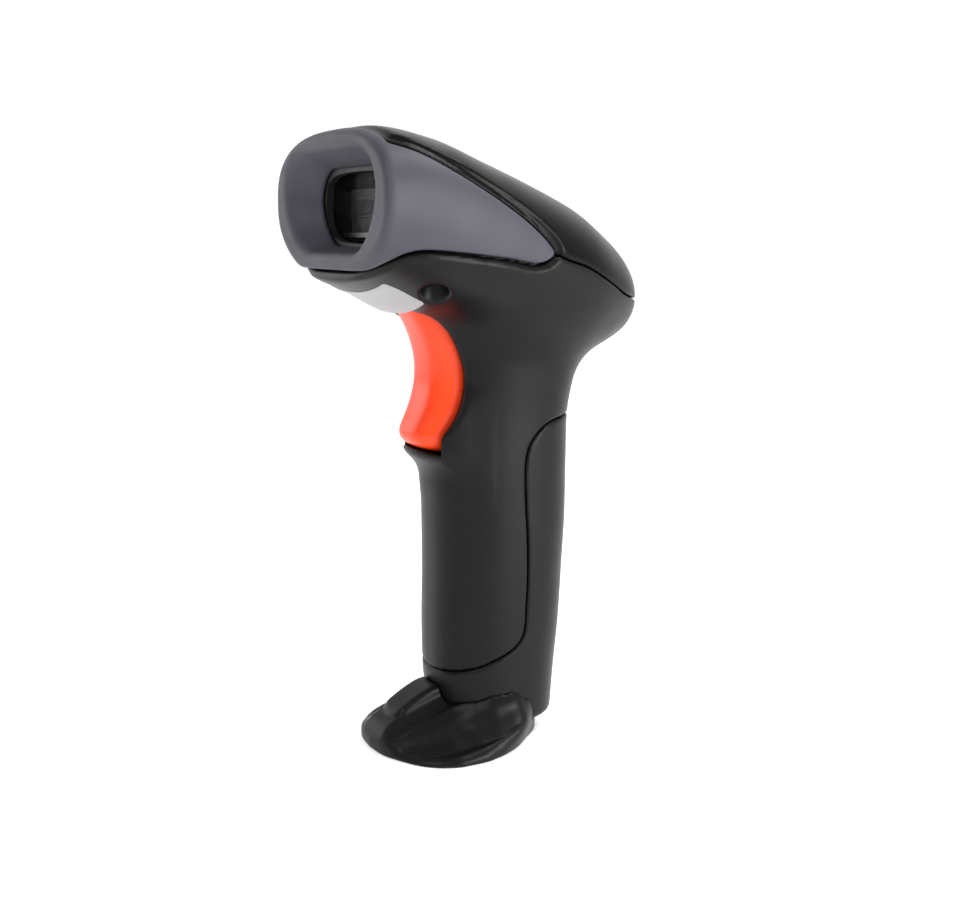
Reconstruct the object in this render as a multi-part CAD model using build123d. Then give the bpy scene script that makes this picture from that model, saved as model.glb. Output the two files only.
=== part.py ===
from build123d import *
from build123d.topology import SkipClean
from math import cos, pi, sin
import os

# Handheld barcode scanner, pistol grip, in millimetres.
# The nose points along -Y and +Z is up. The foot stands on z = 0, and the handle's axis is x = y = 0.
# Shares (0 to 1) place outline points along a named size, so an outline keeps its shape when a size changes.

# Overall sizes
HEAD_LENGTH = 86.5  # mouth to tail
HEAD_WIDTH = 68.6
HEAD_HEIGHT = 55.0  # grip top to crown
GRIP_HEIGHT = 100.0  # ground to the lowest point of the head
GRIP_WIDTH = 31.2
GRIP_DEPTH = 38.0
MOUTH_Y = -45.0
FOOT_LENGTH = 46.0
FOOT_WIDTH = 46.0
FOOT_HEIGHT = 15.0

# Walls and gaps
WALL = 2.2
BEZEL_WALL = 1.7  # soft bumper over the head's side
UNDER_GAP = 0.1  # bumper to the shell under it
SEAM = 0.16  # between two covers
FIT_GAP = 0.2  # inner piece to its seat
SLIDE_GAP = 0.05  # running fit, radial
SCREW_GAP = 0.05

# Nose
RIM_DEPTH = 3.6
FUNNEL_DEPTH = 7.9
FUNNEL_WALL = 1.6
MOUTH_HALF = 27.4
MOUTH_LOW, MOUTH_HIGH = 25.5, 50.4  # above the grip top
THROAT_HALF = 19.5
THROAT_LOW, THROAT_HIGH = 27.5, 45.0
FRAME_DEPTH = 1.8
WINDOW_DEPTH = 1.2
WINDOW_LAP = 2.2  # window edge beyond the throat

# Trigger
TRIGGER_WIDTH = 19.0
TRIGGER_WALL = 1.8
TRIGGER_GAP = 0.5
TRIGGER_REACH = 33.0  # pivot to the trigger's lower end
PIVOT_Y = -12.5
PIVOT_RISE = 9.0  # above the grip top
PIN_RADIUS = 1.0
PIN_OVERHANG = 2.6
PIVOT_BOSS_RADIUS = 3.2
RIB_DROP = 8.0  # pivot to the rib that presses the switch
RIB_HALF = 2.0
RIB_HEIGHT = 3.0
SPRING_WIRE = 0.3
SPRING_COIL = 1.75
SPRING_PITCH = 0.9
SPRING_TURNS = 4
SPRING_LEG = 5.0
SPRING_X = 2.4  # middle plane to the spring's middle

# Switch
SWITCH_SIZE = 6.0
SWITCH_DEPTH = 3.5
PLUNGER_RADIUS = 1.6
PLUNGER_REACH = 2.0
PLUNGER_TRAVEL = 0.8
PRESS_GAP = 0.25  # trigger rib to plunger at rest
TRIGGER_BOARD_WIDTH = 18.0
TRIGGER_BOARD_HEIGHT = 18.0
BOARD_THICKNESS = 1.6

# Scan engine
ENGINE_WIDTH = 36.0
ENGINE_DEPTH = 19.0
ENGINE_HEIGHT = 10.6
ENGINE_SET_BACK = 3.0  # window to engine front
ENGINE_RISE = 30.4  # engine floor above the grip top
BRACKET_THICKNESS = 1.1
LIGHT_BAR_HEIGHT = 3.2
LIGHT_BAR_DEPTH = 4.6
SLIT_HEIGHT = 3.4
BAND_EDGE = 0.8  # chassis strip under, between and over the two bands
LENS_RADIUS = 3.2
LENS_LENGTH = 5.0
LED_COUNT = 4

# Boards
MAIN_BOARD_RISE = 20.2
MAIN_BOARD_FRONT = -6.0
MAIN_BOARD_LENGTH = 32.0
MAIN_BOARD_WIDTH = 41.0
MAIN_BOARD_REAR_WIDTH = 22.0
ENGINE_BOARD_THICKNESS = 1.2
BUZZER_RADIUS, BUZZER_HEIGHT, BUZZER_X = 6.0, 5.0, -1.8

# Battery and charging
CELL_RADIUS = 9.2
CELL_Y = -2.0
CONTACT_THICKNESS = 0.4
HOLDER_WALL = 1.5
GRIP_BOTTOM = 4.5  # ground to the handle's own floor
SOCKET_WIDTH, SOCKET_HEIGHT, SOCKET_RISE = 9.0, 3.2, 12.5

# Screws
SCREW_RADIUS = 1.25
SCREW_HEAD_RADIUS = 2.5
SCREW_HEAD_HEIGHT = 1.8
SCREW_LENGTH = 10.0
SMALL_SCREW_RADIUS = 0.9
SMALL_SCREW_LENGTH = 5.0
POST_RADIUS = 2.3
HEAD_POST_RADIUS = 3.0
WELL_RADIUS = 3.3
WELL_WALL = 1.1
WELL_RISE = 24.6  # top of the grip to the top of the head-screw wells
HEAD_SCREW_X, HEAD_SCREW_Y = 22.5, -28.0

# Label
LABEL_HALF_WIDTH, LABEL_LENGTH, LABEL_THICKNESS, LABEL_LIFT = 17.0, 10.0, 0.15, 0.05
LABEL_FRONT = 6.0  # mouth to label

# Worked out from the sizes above
HEAD_Z = GRIP_HEIGHT
CAVITY = BEZEL_WALL + UNDER_GAP + WALL - 0.6  # depth of the head's inner face
PIVOT_Z = HEAD_Z + PIVOT_RISE
RIB_Z = PIVOT_Z - RIB_DROP
RIM_BACK = MOUTH_Y + RIM_DEPTH
THROAT_Y = MOUTH_Y + FUNNEL_DEPTH
WINDOW_Y = THROAT_Y + FIT_GAP / 2 + FRAME_DEPTH + FIT_GAP / 2
ENGINE_Y = WINDOW_Y + WINDOW_DEPTH + ENGINE_SET_BACK
ENGINE_Z = HEAD_Z + ENGINE_RISE
ENGINE_BACK = ENGINE_Y + ENGINE_DEPTH
MAIN_BOARD_Z = HEAD_Z + MAIN_BOARD_RISE
SLOT_FLOOR = PIVOT_Z - TRIGGER_REACH - TRIGGER_GAP
FLOOR_TOP = GRIP_BOTTOM + WALL
CELL_BOTTOM = FLOOR_TOP + FIT_GAP + HOLDER_WALL + CONTACT_THICKNESS
CELL_TOP = SLOT_FLOOR - 2 * FIT_GAP - HOLDER_WALL - CONTACT_THICKNESS - 0.5
SWITCH_FACE = PIVOT_Y + 7.0
EAR_X = ENGINE_WIDTH / 2 + 3.4
EAR_Y = ENGINE_BACK - 3.2
WELL_TOP = HEAD_Z + WELL_RISE
BOARD_POSTS = (
    (MAIN_BOARD_WIDTH / 2 - 2.5, MAIN_BOARD_FRONT + 6.0),
    (MAIN_BOARD_REAR_WIDTH / 2 - 1.8, MAIN_BOARD_FRONT + MAIN_BOARD_LENGTH - 2.6),
)
BOARD_SEAT_X = TRIGGER_BOARD_WIDTH / 2 - 2
FOOT_SCREW_X, FOOT_SCREW_Y = GRIP_WIDTH / 2 - 4.4, CELL_Y - 8.2
CHARGE_BOARD_Y = CELL_Y + CELL_RADIUS + 1.4
CHARGE_BOARD_TOP = FLOOR_TOP + 24.0
WIDE = 200.0  # past everything

# Head outline: share of length, then top, middle, bottom as shares of height, half width share, roundness
HEAD_STATIONS = (
    (0.000, 0.975, 0.67, 0.350, 1.000, 2.7, 2.15),
    (0.100, 0.995, 0.66, 0.280, 1.000, 2.7, 2.15),
    (0.220, 0.965, 0.63, 0.190, 0.975, 2.5, 2.20),
    (0.380, 0.880, 0.55, 0.118, 0.915, 2.4, 2.15),
    (0.555, 0.785, 0.465, 0.052, 0.820, 2.2, 2.10),
    (0.705, 0.695, 0.390, 0.014, 0.705, 2.0, 2.00),
    (0.830, 0.580, 0.322, 0.010, 0.545, 1.9, 2.00),
    (0.925, 0.460, 0.272, 0.060, 0.365, 1.9, 2.00),
    (0.980, 0.345, 0.240, 0.130, 0.185, 1.9, 2.00),
    (1.000, 0.262, 0.228, 0.190, 0.060, 2.0, 2.00),
)
# Handle outline: share of height, front and back as shares of depth, half width share, roundness
GRIP_STATIONS = (
    (0.045, -0.430, 0.385, 0.94, 2.4),
    (0.180, -0.490, 0.420, 0.97, 2.4),
    (0.300, -0.495, 0.453, 0.99, 2.4),
    (0.450, -0.487, 0.477, 1.00, 2.4),
    (0.600, -0.490, 0.500, 1.00, 2.4),
    (0.720, -0.510, 0.503, 1.01, 2.4),
    (0.840, -0.513, 0.512, 1.03, 2.3),
    (0.970, -0.513, 0.580, 1.10, 2.3),
    (1.120, -0.500, 0.710, 1.28, 2.2),
)
# Foot outline: share of height, toe and heel as shares of length behind the toe tip, half width share
FOOT_STATIONS = (
    (0.00, 0.035, 0.985, 0.94),
    (0.20, 0.000, 1.000, 1.00),
    (0.42, 0.040, 0.975, 0.985),
    (0.62, 0.110, 0.915, 0.93),
    (0.82, 0.220, 0.830, 0.83),
    (1.00, 0.350, 0.720, 0.69),
)
FOOT_TIP = -36.0
# Trigger outline: height above the pivot, finger face ahead of the pivot, half width share
TRIGGER_STATIONS = (
    (3.2, -12.6, 0.86),
    (-2.6, -9.4, 0.95),
    (-8.6, -7.2, 1.00),
    (-13.2, -6.9, 1.00),
    (-18.4, -8.2, 1.00),
    (-24.0, -11.0, 0.96),
    (-28.0, -12.4, 0.88),
    (-30.6, -12.3, 0.80),
    (-34.0, -10.5, 0.70),
)

# Seams in side view: share of head length, share of head height
UPPER_SEAM = ((0.044, 0.935), (0.112, 0.865), (0.277, 0.738), (0.435, 0.596), (0.503, 0.505))
LOWER_SEAM = ((0.018, 0.370), (0.036, 0.430), (0.075, 0.470), (0.130, 0.484), (0.244, 0.470), (0.472, 0.425))
HIDDEN_SEAM = ((0.044, 0.690), (0.280, 0.600), (0.440, 0.515))
SEAM_TIP = (0.530, 0.462)
TAIL_SEAM = ((0.661, 0.402), (0.790, 0.318), (0.870, 0.268), (1.000, 0.232))
# Handle seam in side view: share of handle depth, share of handle height
GRIP_SEAM = (
    (0.60, 0.850),
    (0.36, 0.843),
    (0.20, 0.832),
    (0.10, 0.806),
    (0.035, 0.765),
    (0.020, 0.690),
    (0.045, 0.520),
    (0.040, 0.380),
    (0.000, 0.275),
    (-0.230, 0.223),
    (-0.440, 0.196),
    (-0.600, 0.176),
)


def signed_power(value, power):
    """A value raised to a power with its sign kept."""
    return abs(value) ** power * (1 if value >= 0 else -1)


def ring(half, low, middle, high, low_power, high_power, place, count=16):
    """A closed smooth wire: an oval whose lower and upper halves may differ."""
    points = []
    for step in range(count):
        angle = 2 * pi * step / count
        across, up = cos(angle), sin(angle)
        power = 2 / (high_power if up >= 0 else low_power)
        reach = (high - middle) if up >= 0 else (middle - low)
        points.append(place(half * signed_power(across, power), middle + reach * signed_power(up, power)))
    knots = [step / count for step in range(count + 1)]
    return Wire([Edge.make_spline(points, periodic=True, parameters=knots)])


def head_form(inset):
    """The head as one solid, moved inwards by inset."""
    wires = []
    for along, top, middle, bottom, half, top_power, bottom_power in HEAD_STATIONS:
        y = MOUTH_Y + along * HEAD_LENGTH
        y -= inset * max(0.0, (along - 0.8) / 0.2)
        half_width = half * HEAD_WIDTH / 2 - inset
        low = HEAD_Z + bottom * HEAD_HEIGHT + inset
        high = HEAD_Z + top * HEAD_HEIGHT - inset
        mid = HEAD_Z + middle * HEAD_HEIGHT
        if min(half_width, high - mid, mid - low) < 1.2:
            break
        wires.append(
            ring(half_width, low, mid, high, bottom_power, top_power, lambda x, z, y=y: Vector(x, y, z))
        )
    return Solid.make_loft(wires)


def grip_form(inset, bottom=None):
    """The handle as one solid, moved inwards by inset, running up into the head."""
    wires = []
    for share, front, back, half, power in GRIP_STATIONS:
        z = share * GRIP_HEIGHT
        front_y, back_y = front * GRIP_DEPTH + inset, back * GRIP_DEPTH - inset
        middle = (front_y + back_y) / 2
        wires.append(
            ring(
                half * GRIP_WIDTH / 2 - inset,
                front_y,
                middle,
                back_y,
                power,
                power,
                lambda x, y, z=z: Vector(x, y, z),
            )
        )
    solid = Solid.make_loft(wires)
    return solid if bottom is None else solid & slab(z_from=bottom)


def foot_form(inset):
    """The foot's outer form: a flared skirt with a long toe."""
    wires = []
    for share, toe, heel, half in FOOT_STATIONS:
        front_y = FOOT_TIP + toe * FOOT_LENGTH + inset
        back_y = FOOT_TIP + heel * FOOT_LENGTH - inset
        widest = front_y + 0.42 * (back_y - front_y)
        wires.append(
            ring(
                half * FOOT_WIDTH / 2 - inset,
                front_y,
                widest,
                back_y,
                2.1,
                1.75,
                lambda x, y, z=share * FOOT_HEIGHT: Vector(x, y, z),
            )
        )
    return Solid.make_loft(wires)


def slab(x_from=-WIDE, x_to=WIDE, y_from=-WIDE, y_to=WIDE, z_from=-WIDE, z_to=WIDE):
    """A box given by its faces."""
    middle = ((x_from + x_to) / 2, (y_from + y_to) / 2, (z_from + z_to) / 2)
    return Pos(*middle) * Box(x_to - x_from, y_to - y_from, z_to - z_from)


def rod(x, y, z_from, z_to, radius):
    """An upright cylinder."""
    return Pos(x, y, (z_from + z_to) / 2) * Cylinder(radius, z_to - z_from)


def cross_rod(x_from, x_to, y, z, radius):
    """A cylinder along X."""
    return Pos((x_from + x_to) / 2, y, z) * Rot(0, 90, 0) * Cylinder(radius, x_to - x_from)


def long_rod(x, z, y_from, y_to, radius):
    """A cylinder along Y."""
    return Pos(x, (y_from + y_to) / 2, z) * Rot(90, 0, 0) * Cylinder(radius, y_to - y_from)


def both_sides(shape):
    """A shape and its mirror image across the middle plane."""
    return shape + mirror(shape, Plane.YZ)


def head_point(along, up, lift=0.0):
    """A seam's point in side view."""
    return (MOUTH_Y + along * HEAD_LENGTH, HEAD_Z + up * HEAD_HEIGHT + lift)


def side_block(edges):
    """A side-view outline of joined edges, pushed out across the whole width."""
    return extrude(Plane.YZ * make_face(edges), amount=WIDE, both=True)


def seam_block(front_y, seam, tail_lift, seam_lift, edge_z):
    """Everything above (or below) a head seam and the tail seam that follows it."""
    front = [head_point(*point, seam_lift) for point in seam]
    start = (front_y, front[0][1])
    tail = [head_point(*point, tail_lift) for point in (SEAM_TIP, *TAIL_SEAM)]
    curves = Spline(start, *front[1:], tail[0]) + Spline(*tail)
    closing = Polyline(tail[-1], (WIDE, tail[-1][1]), (WIDE, edge_z), (front_y, edge_z), start)
    return side_block(curves + closing)


def bezel_block():
    """The bumper's region in side view: the whole rim, and the wing between the two seams."""
    half_seam = SEAM / 2
    upper = [head_point(*point, -half_seam) for point in UPPER_SEAM]
    lower = [head_point(*point, half_seam) for point in LOWER_SEAM]
    tip = head_point(*SEAM_TIP)
    front_low = lower[0][0]
    upper_curve = Spline((RIM_BACK, upper[0][1]), *upper[1:], tip)
    lower_curve = Spline(tip, *reversed(lower))
    closing = Polyline(
        lower[0],
        (front_low, HEAD_Z),
        (MOUTH_Y - 1, HEAD_Z),
        (MOUTH_Y - 1, HEAD_Z + 2 * HEAD_HEIGHT),
        (RIM_BACK, HEAD_Z + 2 * HEAD_HEIGHT),
        (RIM_BACK, upper[0][1]),
    )
    return side_block(upper_curve + lower_curve + closing)


def grip_block(shift, behind):
    """Everything behind (or before) the handle seam."""
    points = [(along * GRIP_DEPTH + shift, up * GRIP_HEIGHT - shift) for along, up in GRIP_SEAM]
    seam = Spline(*points)
    back_y, front_y = points[0][0], points[-1][0]
    if behind:
        closing = Polyline(points[-1], (front_y, -WIDE), (WIDE, -WIDE), (WIDE, points[0][1]), points[0])
    else:
        top = 2 * WIDE
        closing = Polyline(points[-1], (-WIDE, points[-1][1]), (-WIDE, top), (back_y, top), points[0])
    return side_block(seam + closing)


def mouth_wire(share, grow):
    """The funnel's section, from mouth (0) to throat (1)."""
    half = MOUTH_HALF + (THROAT_HALF - MOUTH_HALF) * share + grow
    low = MOUTH_LOW + (THROAT_LOW - MOUTH_LOW) * share - grow
    high = MOUTH_HIGH + (THROAT_HIGH - MOUTH_HIGH) * share + grow
    middle = low + 0.5 * (high - low)
    y = MOUTH_Y + share * FUNNEL_DEPTH
    return ring(half, HEAD_Z + low, HEAD_Z + middle, HEAD_Z + high, 2.8, 3.6, lambda x, z: Vector(x, y, z))


def throat_prism(y_from, y_to, grow):
    """A straight block with the throat's outline."""
    face = Face(mouth_wire(1.0, grow))
    face = face.moved(Location((0, y_from - THROAT_Y, 0)))
    return extrude(face, amount=y_to - y_from, dir=(0, 1, 0))


def nose_bezel(outer, under):
    """Grey bumper: rim, funnel and the two side wings."""
    cap = outer - (under & slab(y_from=RIM_BACK))
    cup = Solid.make_loft([mouth_wire(0.3, FUNNEL_WALL), mouth_wire(1.0, FUNNEL_WALL)])
    funnel = Solid.make_loft([mouth_wire(-0.1, 0), mouth_wire(1.05, 0)])
    return (cap & bezel_block()) + cup - funnel


def top_cover(shell, under_shell, middle):
    """Upper shell of the head, with the posts that the head screws grip."""
    front = RIM_BACK + SEAM
    lift = SEAM / 2
    sky = HEAD_Z + 2 * HEAD_HEIGHT
    crown = shell & seam_block(front, UPPER_SEAM, lift, lift, sky)
    hidden = under_shell & seam_block(front, HIDDEN_SEAM, lift, lift, sky)
    place = (HEAD_SCREW_X, HEAD_SCREW_Y)
    posts = both_sides(rod(*place, WELL_TOP + FIT_GAP, HEAD_Z + HEAD_HEIGHT, HEAD_POST_RADIUS))
    pilot = both_sides(rod(*place, 0, WELL_TOP + SCREW_LENGTH, SCREW_RADIUS + SCREW_GAP))
    return crown + hidden + (posts & middle) - pilot


def trigger_form(inset, back_y):
    """The trigger's outer form, moved inwards by inset: hollowed finger face and rounded corners."""
    wires = []
    for drop, front, half in TRIGGER_STATIONS:
        wires.append(
            ring(
                half * TRIGGER_WIDTH / 2 - inset,
                PIVOT_Y + front + inset,
                PIVOT_Y + front / 2 + 1.0,
                back_y,
                2.6,
                8.0,
                lambda x, y, z=PIVOT_Z + drop: Vector(x, y, z),
            )
        )
    return Solid.make_loft(wires)


def trigger():
    """Finger piece: a shell open at the back, with two cheeks on the pin and a rib for the switch."""
    half = TRIGGER_WIDTH / 2
    back_y = PIVOT_Y + PIVOT_BOSS_RADIUS
    solid = trigger_form(0, back_y) & cross_rod(-half, half, PIVOT_Y, PIVOT_Z, TRIGGER_REACH)
    pocket = trigger_form(TRIGGER_WALL, back_y + 4.0)
    pocket &= cross_rod(-half, half, PIVOT_Y, PIVOT_Z, TRIGGER_REACH - TRIGGER_WALL)
    rib = slab(
        -RIB_HALF,
        RIB_HALF,
        PIVOT_Y - 6.0,
        SWITCH_FACE - PLUNGER_REACH - PRESS_GAP,
        RIB_Z - RIB_HEIGHT / 2,
        RIB_Z + RIB_HEIGHT / 2,
    )
    bore = cross_rod(-half - 1, half + 1, PIVOT_Y, PIVOT_Z, PIN_RADIUS + SLIDE_GAP)
    return solid - pocket + rib - bore


def trigger_slot():
    """The opening that the trigger swings in, with its arc floor."""
    half = TRIGGER_WIDTH / 2 + TRIGGER_GAP
    swept = cross_rod(-half, half, PIVOT_Y, PIVOT_Z, TRIGGER_REACH + TRIGGER_GAP)
    window = slab(-half, half, PIVOT_Y - 14.0, PIVOT_Y + 5.5, SLOT_FLOOR - 2, PIVOT_Z + 5.0)
    return swept & window


def finger_guard():
    """The small shelf that stands out of the handle under the trigger."""
    top = SLOT_FLOOR + 2.6
    face = Polyline(
        (-12.0, top),
        (-23.8, top),
        (-24.6, top - 1.2),
        (-24.2, top - 3.2),
        (-12.0, top - 13.0),
        (-12.0, top),
    )
    shelf = extrude(Plane.YZ * make_face(face), amount=WIDE, both=True)
    plan = Pos(0, -10.5, top - 6) * extrude(Ellipse(13.0, 14.2), amount=12, both=True)
    return shelf & plan


def main_housing(shell, under_shell, cavity, middle, grip, grip_cavity):
    """Lower shell of the head in one piece with the front of the handle."""
    drop = -SEAM / 2
    lip = head_point(*LOWER_SEAM[0])[0] + SEAM
    below = shell & seam_block(lip, LOWER_SEAM, drop, drop, 0)
    hidden = under_shell & seam_block(RIM_BACK + SEAM, HIDDEN_SEAM, drop, drop, 0)
    handle = (grip + finger_guard()) & grip_block(drop, False) & slab(z_to=HEAD_Z + 0.35 * HEAD_HEIGHT)
    head = below + hidden - grip_cavity
    handle = handle - grip_cavity - cavity
    posts = Part() + [
        rod(HEAD_SCREW_X, HEAD_SCREW_Y, HEAD_Z, WELL_TOP, WELL_RADIUS + WELL_WALL),
        rod(EAR_X, EAR_Y, HEAD_Z, ENGINE_Z - BRACKET_THICKNESS, POST_RADIUS),
        *[rod(x, y, HEAD_Z, MAIN_BOARD_Z, POST_RADIUS) for x, y in BOARD_POSTS],
    ]
    posts = both_sides(posts & middle)
    half = TRIGGER_WIDTH / 2 + TRIGGER_GAP
    board_back = SWITCH_FACE + SWITCH_DEPTH
    inner = cross_rod(half + 0.3, half + 9.0, PIVOT_Y, PIVOT_Z, PIVOT_BOSS_RADIUS)
    inner += slab(BOARD_SEAT_X, GRIP_WIDTH / 2 + 3, board_back - 2.2, board_back, RIB_Z - 8.5, RIB_Z - 4.5)
    holes = rod(HEAD_SCREW_X, HEAD_SCREW_Y, 0, WELL_TOP - WELL_WALL - 0.4, WELL_RADIUS)
    holes += rod(HEAD_SCREW_X, HEAD_SCREW_Y, 0, WELL_TOP + 1, SCREW_RADIUS + 0.2)
    small = SMALL_SCREW_RADIUS + SCREW_GAP
    holes += rod(EAR_X, EAR_Y, ENGINE_Z - SMALL_SCREW_LENGTH - 0.6, ENGINE_Z, small)
    for x, y in BOARD_POSTS:
        holes += rod(x, y, MAIN_BOARD_Z - SMALL_SCREW_LENGTH, MAIN_BOARD_Z + 1, small)
    pin_half = half + PIN_OVERHANG + FIT_GAP
    pin_bore = cross_rod(-pin_half, pin_half, PIVOT_Y, PIVOT_Z, PIN_RADIUS + 0.02)
    inner = both_sides(inner & grip_form(WALL / 2))
    return head + handle + posts + inner - trigger_slot() - both_sides(holes) - pin_bore


def rear_grip(grip, grip_cavity):
    """Back shell of the handle, with the collar and floor that close its lower end."""
    shell = (grip - (grip_cavity & slab(z_from=FLOOR_TOP))) & grip_block(SEAM / 2, True)
    inner = rod(FOOT_SCREW_X, FOOT_SCREW_Y, FLOOR_TOP - 1, FLOOR_TOP + SCREW_LENGTH - 3, POST_RADIUS)
    seat_y = CHARGE_BOARD_Y + BOARD_THICKNESS + 0.1
    inner += slab(6.0, GRIP_WIDTH / 2, seat_y, GRIP_DEPTH / 2, CHARGE_BOARD_TOP - 5, CHARGE_BOARD_TOP - 3)
    inner = both_sides(inner & grip_form(WALL / 2))
    pilots = both_sides(rod(FOOT_SCREW_X, FOOT_SCREW_Y, 0, FLOOR_TOP + SCREW_LENGTH - 4, SCREW_RADIUS + SCREW_GAP))
    half, tall = SOCKET_WIDTH / 2 + FIT_GAP, SOCKET_HEIGHT / 2 + FIT_GAP
    port = slab(-half, half, 0, WIDE, SOCKET_RISE - tall, SOCKET_RISE + tall)
    return shell + inner - pilots - port


def foot():
    """Flared foot: a hollow shell that the handle's lower end stands in."""
    shell = foot_form(0)
    inside = foot_form(WALL) & slab(z_from=WALL, z_to=FOOT_HEIGHT - WALL)
    posts = both_sides(rod(FOOT_SCREW_X, FOOT_SCREW_Y, 0.5, GRIP_BOTTOM + 1, WELL_RADIUS + WELL_WALL))
    bed = slab(-GRIP_WIDTH / 2 + WALL, GRIP_WIDTH / 2 - WALL, -GRIP_DEPTH / 2 + WALL, 4.0, 0.5, GRIP_BOTTOM + 1)
    bed = bed - slab(-5, 5, -GRIP_DEPTH / 2 + 2 * WALL, 2.0, WALL, GRIP_BOTTOM + 2)
    hollow = shell - inside + (posts & shell) + (bed & shell)
    handle = grip_form(-SEAM) & slab(z_from=GRIP_BOTTOM - SEAM)
    wells = both_sides(rod(FOOT_SCREW_X, FOOT_SCREW_Y, -1, GRIP_BOTTOM - 1.6, SCREW_HEAD_RADIUS + 0.3))
    wells += both_sides(rod(FOOT_SCREW_X, FOOT_SCREW_Y, -1, GRIP_BOTTOM + 1, SCREW_RADIUS + 0.2))
    return hollow - handle - wells


def screw(radius, head_radius, head_height, length, x, y, head_z, up=1):
    """Screw with a drive recess. Its head's bearing face is at head_z and its shank points up (or down)."""
    shank = rod(x, y, *sorted((head_z - up * head_height / 2, head_z + up * length)), radius)
    head = rod(x, y, *sorted((head_z, head_z - up * head_height)), head_radius)
    recess_from, recess_to = sorted((head_z - up * head_height, head_z - up * head_height * 0.4))
    arm = head_radius * 0.6
    slot = slab(x - arm, x + arm, y - 0.3, y + 0.3, recess_from, recess_to)
    slot += slab(x - 0.3, x + 0.3, y - arm, y + arm, recess_from, recess_to)
    return shank + head - slot


def engine_parts():
    """Line imager behind the window: chassis, light bar, slit cover, lens, sensor, LEDs and boards."""
    half = ENGINE_WIDTH / 2
    top = ENGINE_Z + ENGINE_HEIGHT
    bar_low = ENGINE_Z + BAND_EDGE
    bar_high = bar_low + LIGHT_BAR_HEIGHT
    slit_low = bar_high + BAND_EDGE
    slit_high = slit_low + SLIT_HEIGHT
    slit_mid = (slit_low + slit_high) / 2
    band_half = half - 2.0
    bar_back = ENGINE_Y + LIGHT_BAR_DEPTH
    led_back = bar_back + 1.6
    board_back = led_back + 0.8
    lens_front = board_back + 0.6
    chamber_front = lens_front + LENS_LENGTH - 1.5
    chassis = slab(-half, half, ENGINE_Y, ENGINE_BACK, ENGINE_Z + 0.05, top)
    chassis -= slab(-band_half, band_half, ENGINE_Y - 1, board_back + 0.2, bar_low, bar_high)
    chassis -= slab(-band_half, band_half, ENGINE_Y - 1, lens_front, slit_low, slit_high)
    chassis -= long_rod(0, slit_mid, lens_front - 0.5, lens_front + LENS_LENGTH + 0.5, LENS_RADIUS + SCREW_GAP)
    chassis -= slab(-band_half, band_half, chamber_front, ENGINE_BACK + 1, ENGINE_Z + 2, top - 1.4)
    groove_y = (ENGINE_Y + 3.0, ENGINE_Y + 6.0, ENGINE_Y + 9.0)
    for y in groove_y:
        chassis -= slab(-half + 2, half - 2, y, y + 1.2, top - 0.5, top + 1)
    bar = slab(0.1 - band_half, band_half - 0.1, ENGINE_Y + 0.4, bar_back, bar_low + 0.1, bar_high - 0.1)
    for line in range(4):
        z = bar_low + 0.5 + line * 0.7
        bar -= slab(-band_half, band_half, ENGINE_Y, ENGINE_Y + 0.65, z, z + 0.25)
    cover = slab(0.1 - band_half, band_half - 0.1, ENGINE_Y + 0.5, ENGINE_Y + 1.5, slit_low + 0.1, slit_high - 0.1)
    spacing = 2 * band_half / LED_COUNT
    leds = Part() + [
        slab(x - 1.5, x + 1.5, bar_back + 0.1, led_back, bar_low + 0.6, bar_high - 0.6)
        for x in [(index + 0.5) * spacing - band_half for index in range(LED_COUNT)]
    ]
    led_board = slab(0.1 - band_half, band_half - 0.1, led_back, board_back, bar_low + 0.1, bar_high - 0.1)
    lens = long_rod(0, slit_mid, lens_front, lens_front + LENS_LENGTH, LENS_RADIUS)
    lens -= long_rod(0, slit_mid, lens_front - 1, lens_front + 0.8, LENS_RADIUS - 0.9)
    sensor = slab(-band_half + 2, band_half - 2, ENGINE_BACK - 1.6, ENGINE_BACK + 0.05, slit_mid - 2.4, slit_mid + 2.4)
    board_y = ENGINE_BACK + 0.1
    board = slab(-half, half, board_y, board_y + ENGINE_BOARD_THICKNESS, ENGINE_Z - 4.0, top + 1.0)
    bracket = slab(-half - 0.6, half + 0.6, ENGINE_Y - 2.0, ENGINE_BACK, ENGINE_Z - BRACKET_THICKNESS, ENGINE_Z)
    bracket += slab(-EAR_X - 2.4, EAR_X + 2.4, EAR_Y - 2.6, EAR_Y + 2.6, ENGINE_Z - BRACKET_THICKNESS, ENGINE_Z)
    bracket -= both_sides(rod(EAR_X, EAR_Y, 0, WIDE, SMALL_SCREW_RADIUS + 0.15))
    screws = both_sides(screw(SMALL_SCREW_RADIUS, 1.8, 1.2, SMALL_SCREW_LENGTH, EAR_X, EAR_Y, ENGINE_Z, -1))
    return {
        "engine_chassis": chassis,
        "light_bar": bar,
        "slit_cover": cover,
        "engine_leds": leds,
        "led_board": led_board,
        "lens_barrel": lens,
        "image_sensor": sensor,
        "engine_board": board,
        "engine_bracket": bracket,
        "engine_screws": screws,
    }


def flex_cable():
    """Flat cable from the engine board's back down to the main board's edge."""
    y_from = ENGINE_BACK + 0.1 + ENGINE_BOARD_THICKNESS
    z_from = ENGINE_Z - 3.0
    y_to, z_to = MAIN_BOARD_FRONT + 4.0, MAIN_BOARD_Z + BOARD_THICKNESS
    thickness = 0.25
    outline = Polyline(
        (y_from, z_from),
        (y_from, z_from + 3.5),
        (y_from + thickness, z_from + 3.5),
        (y_from + thickness, z_from + 0.1),
        (y_to - 3.0, z_to + thickness),
        (y_to, z_to + thickness),
        (y_to, z_to),
        (y_to - 3.1, z_to),
        (y_from, z_from),
    )
    return extrude(Plane.YZ * make_face(outline), amount=5.0, both=True)


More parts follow.
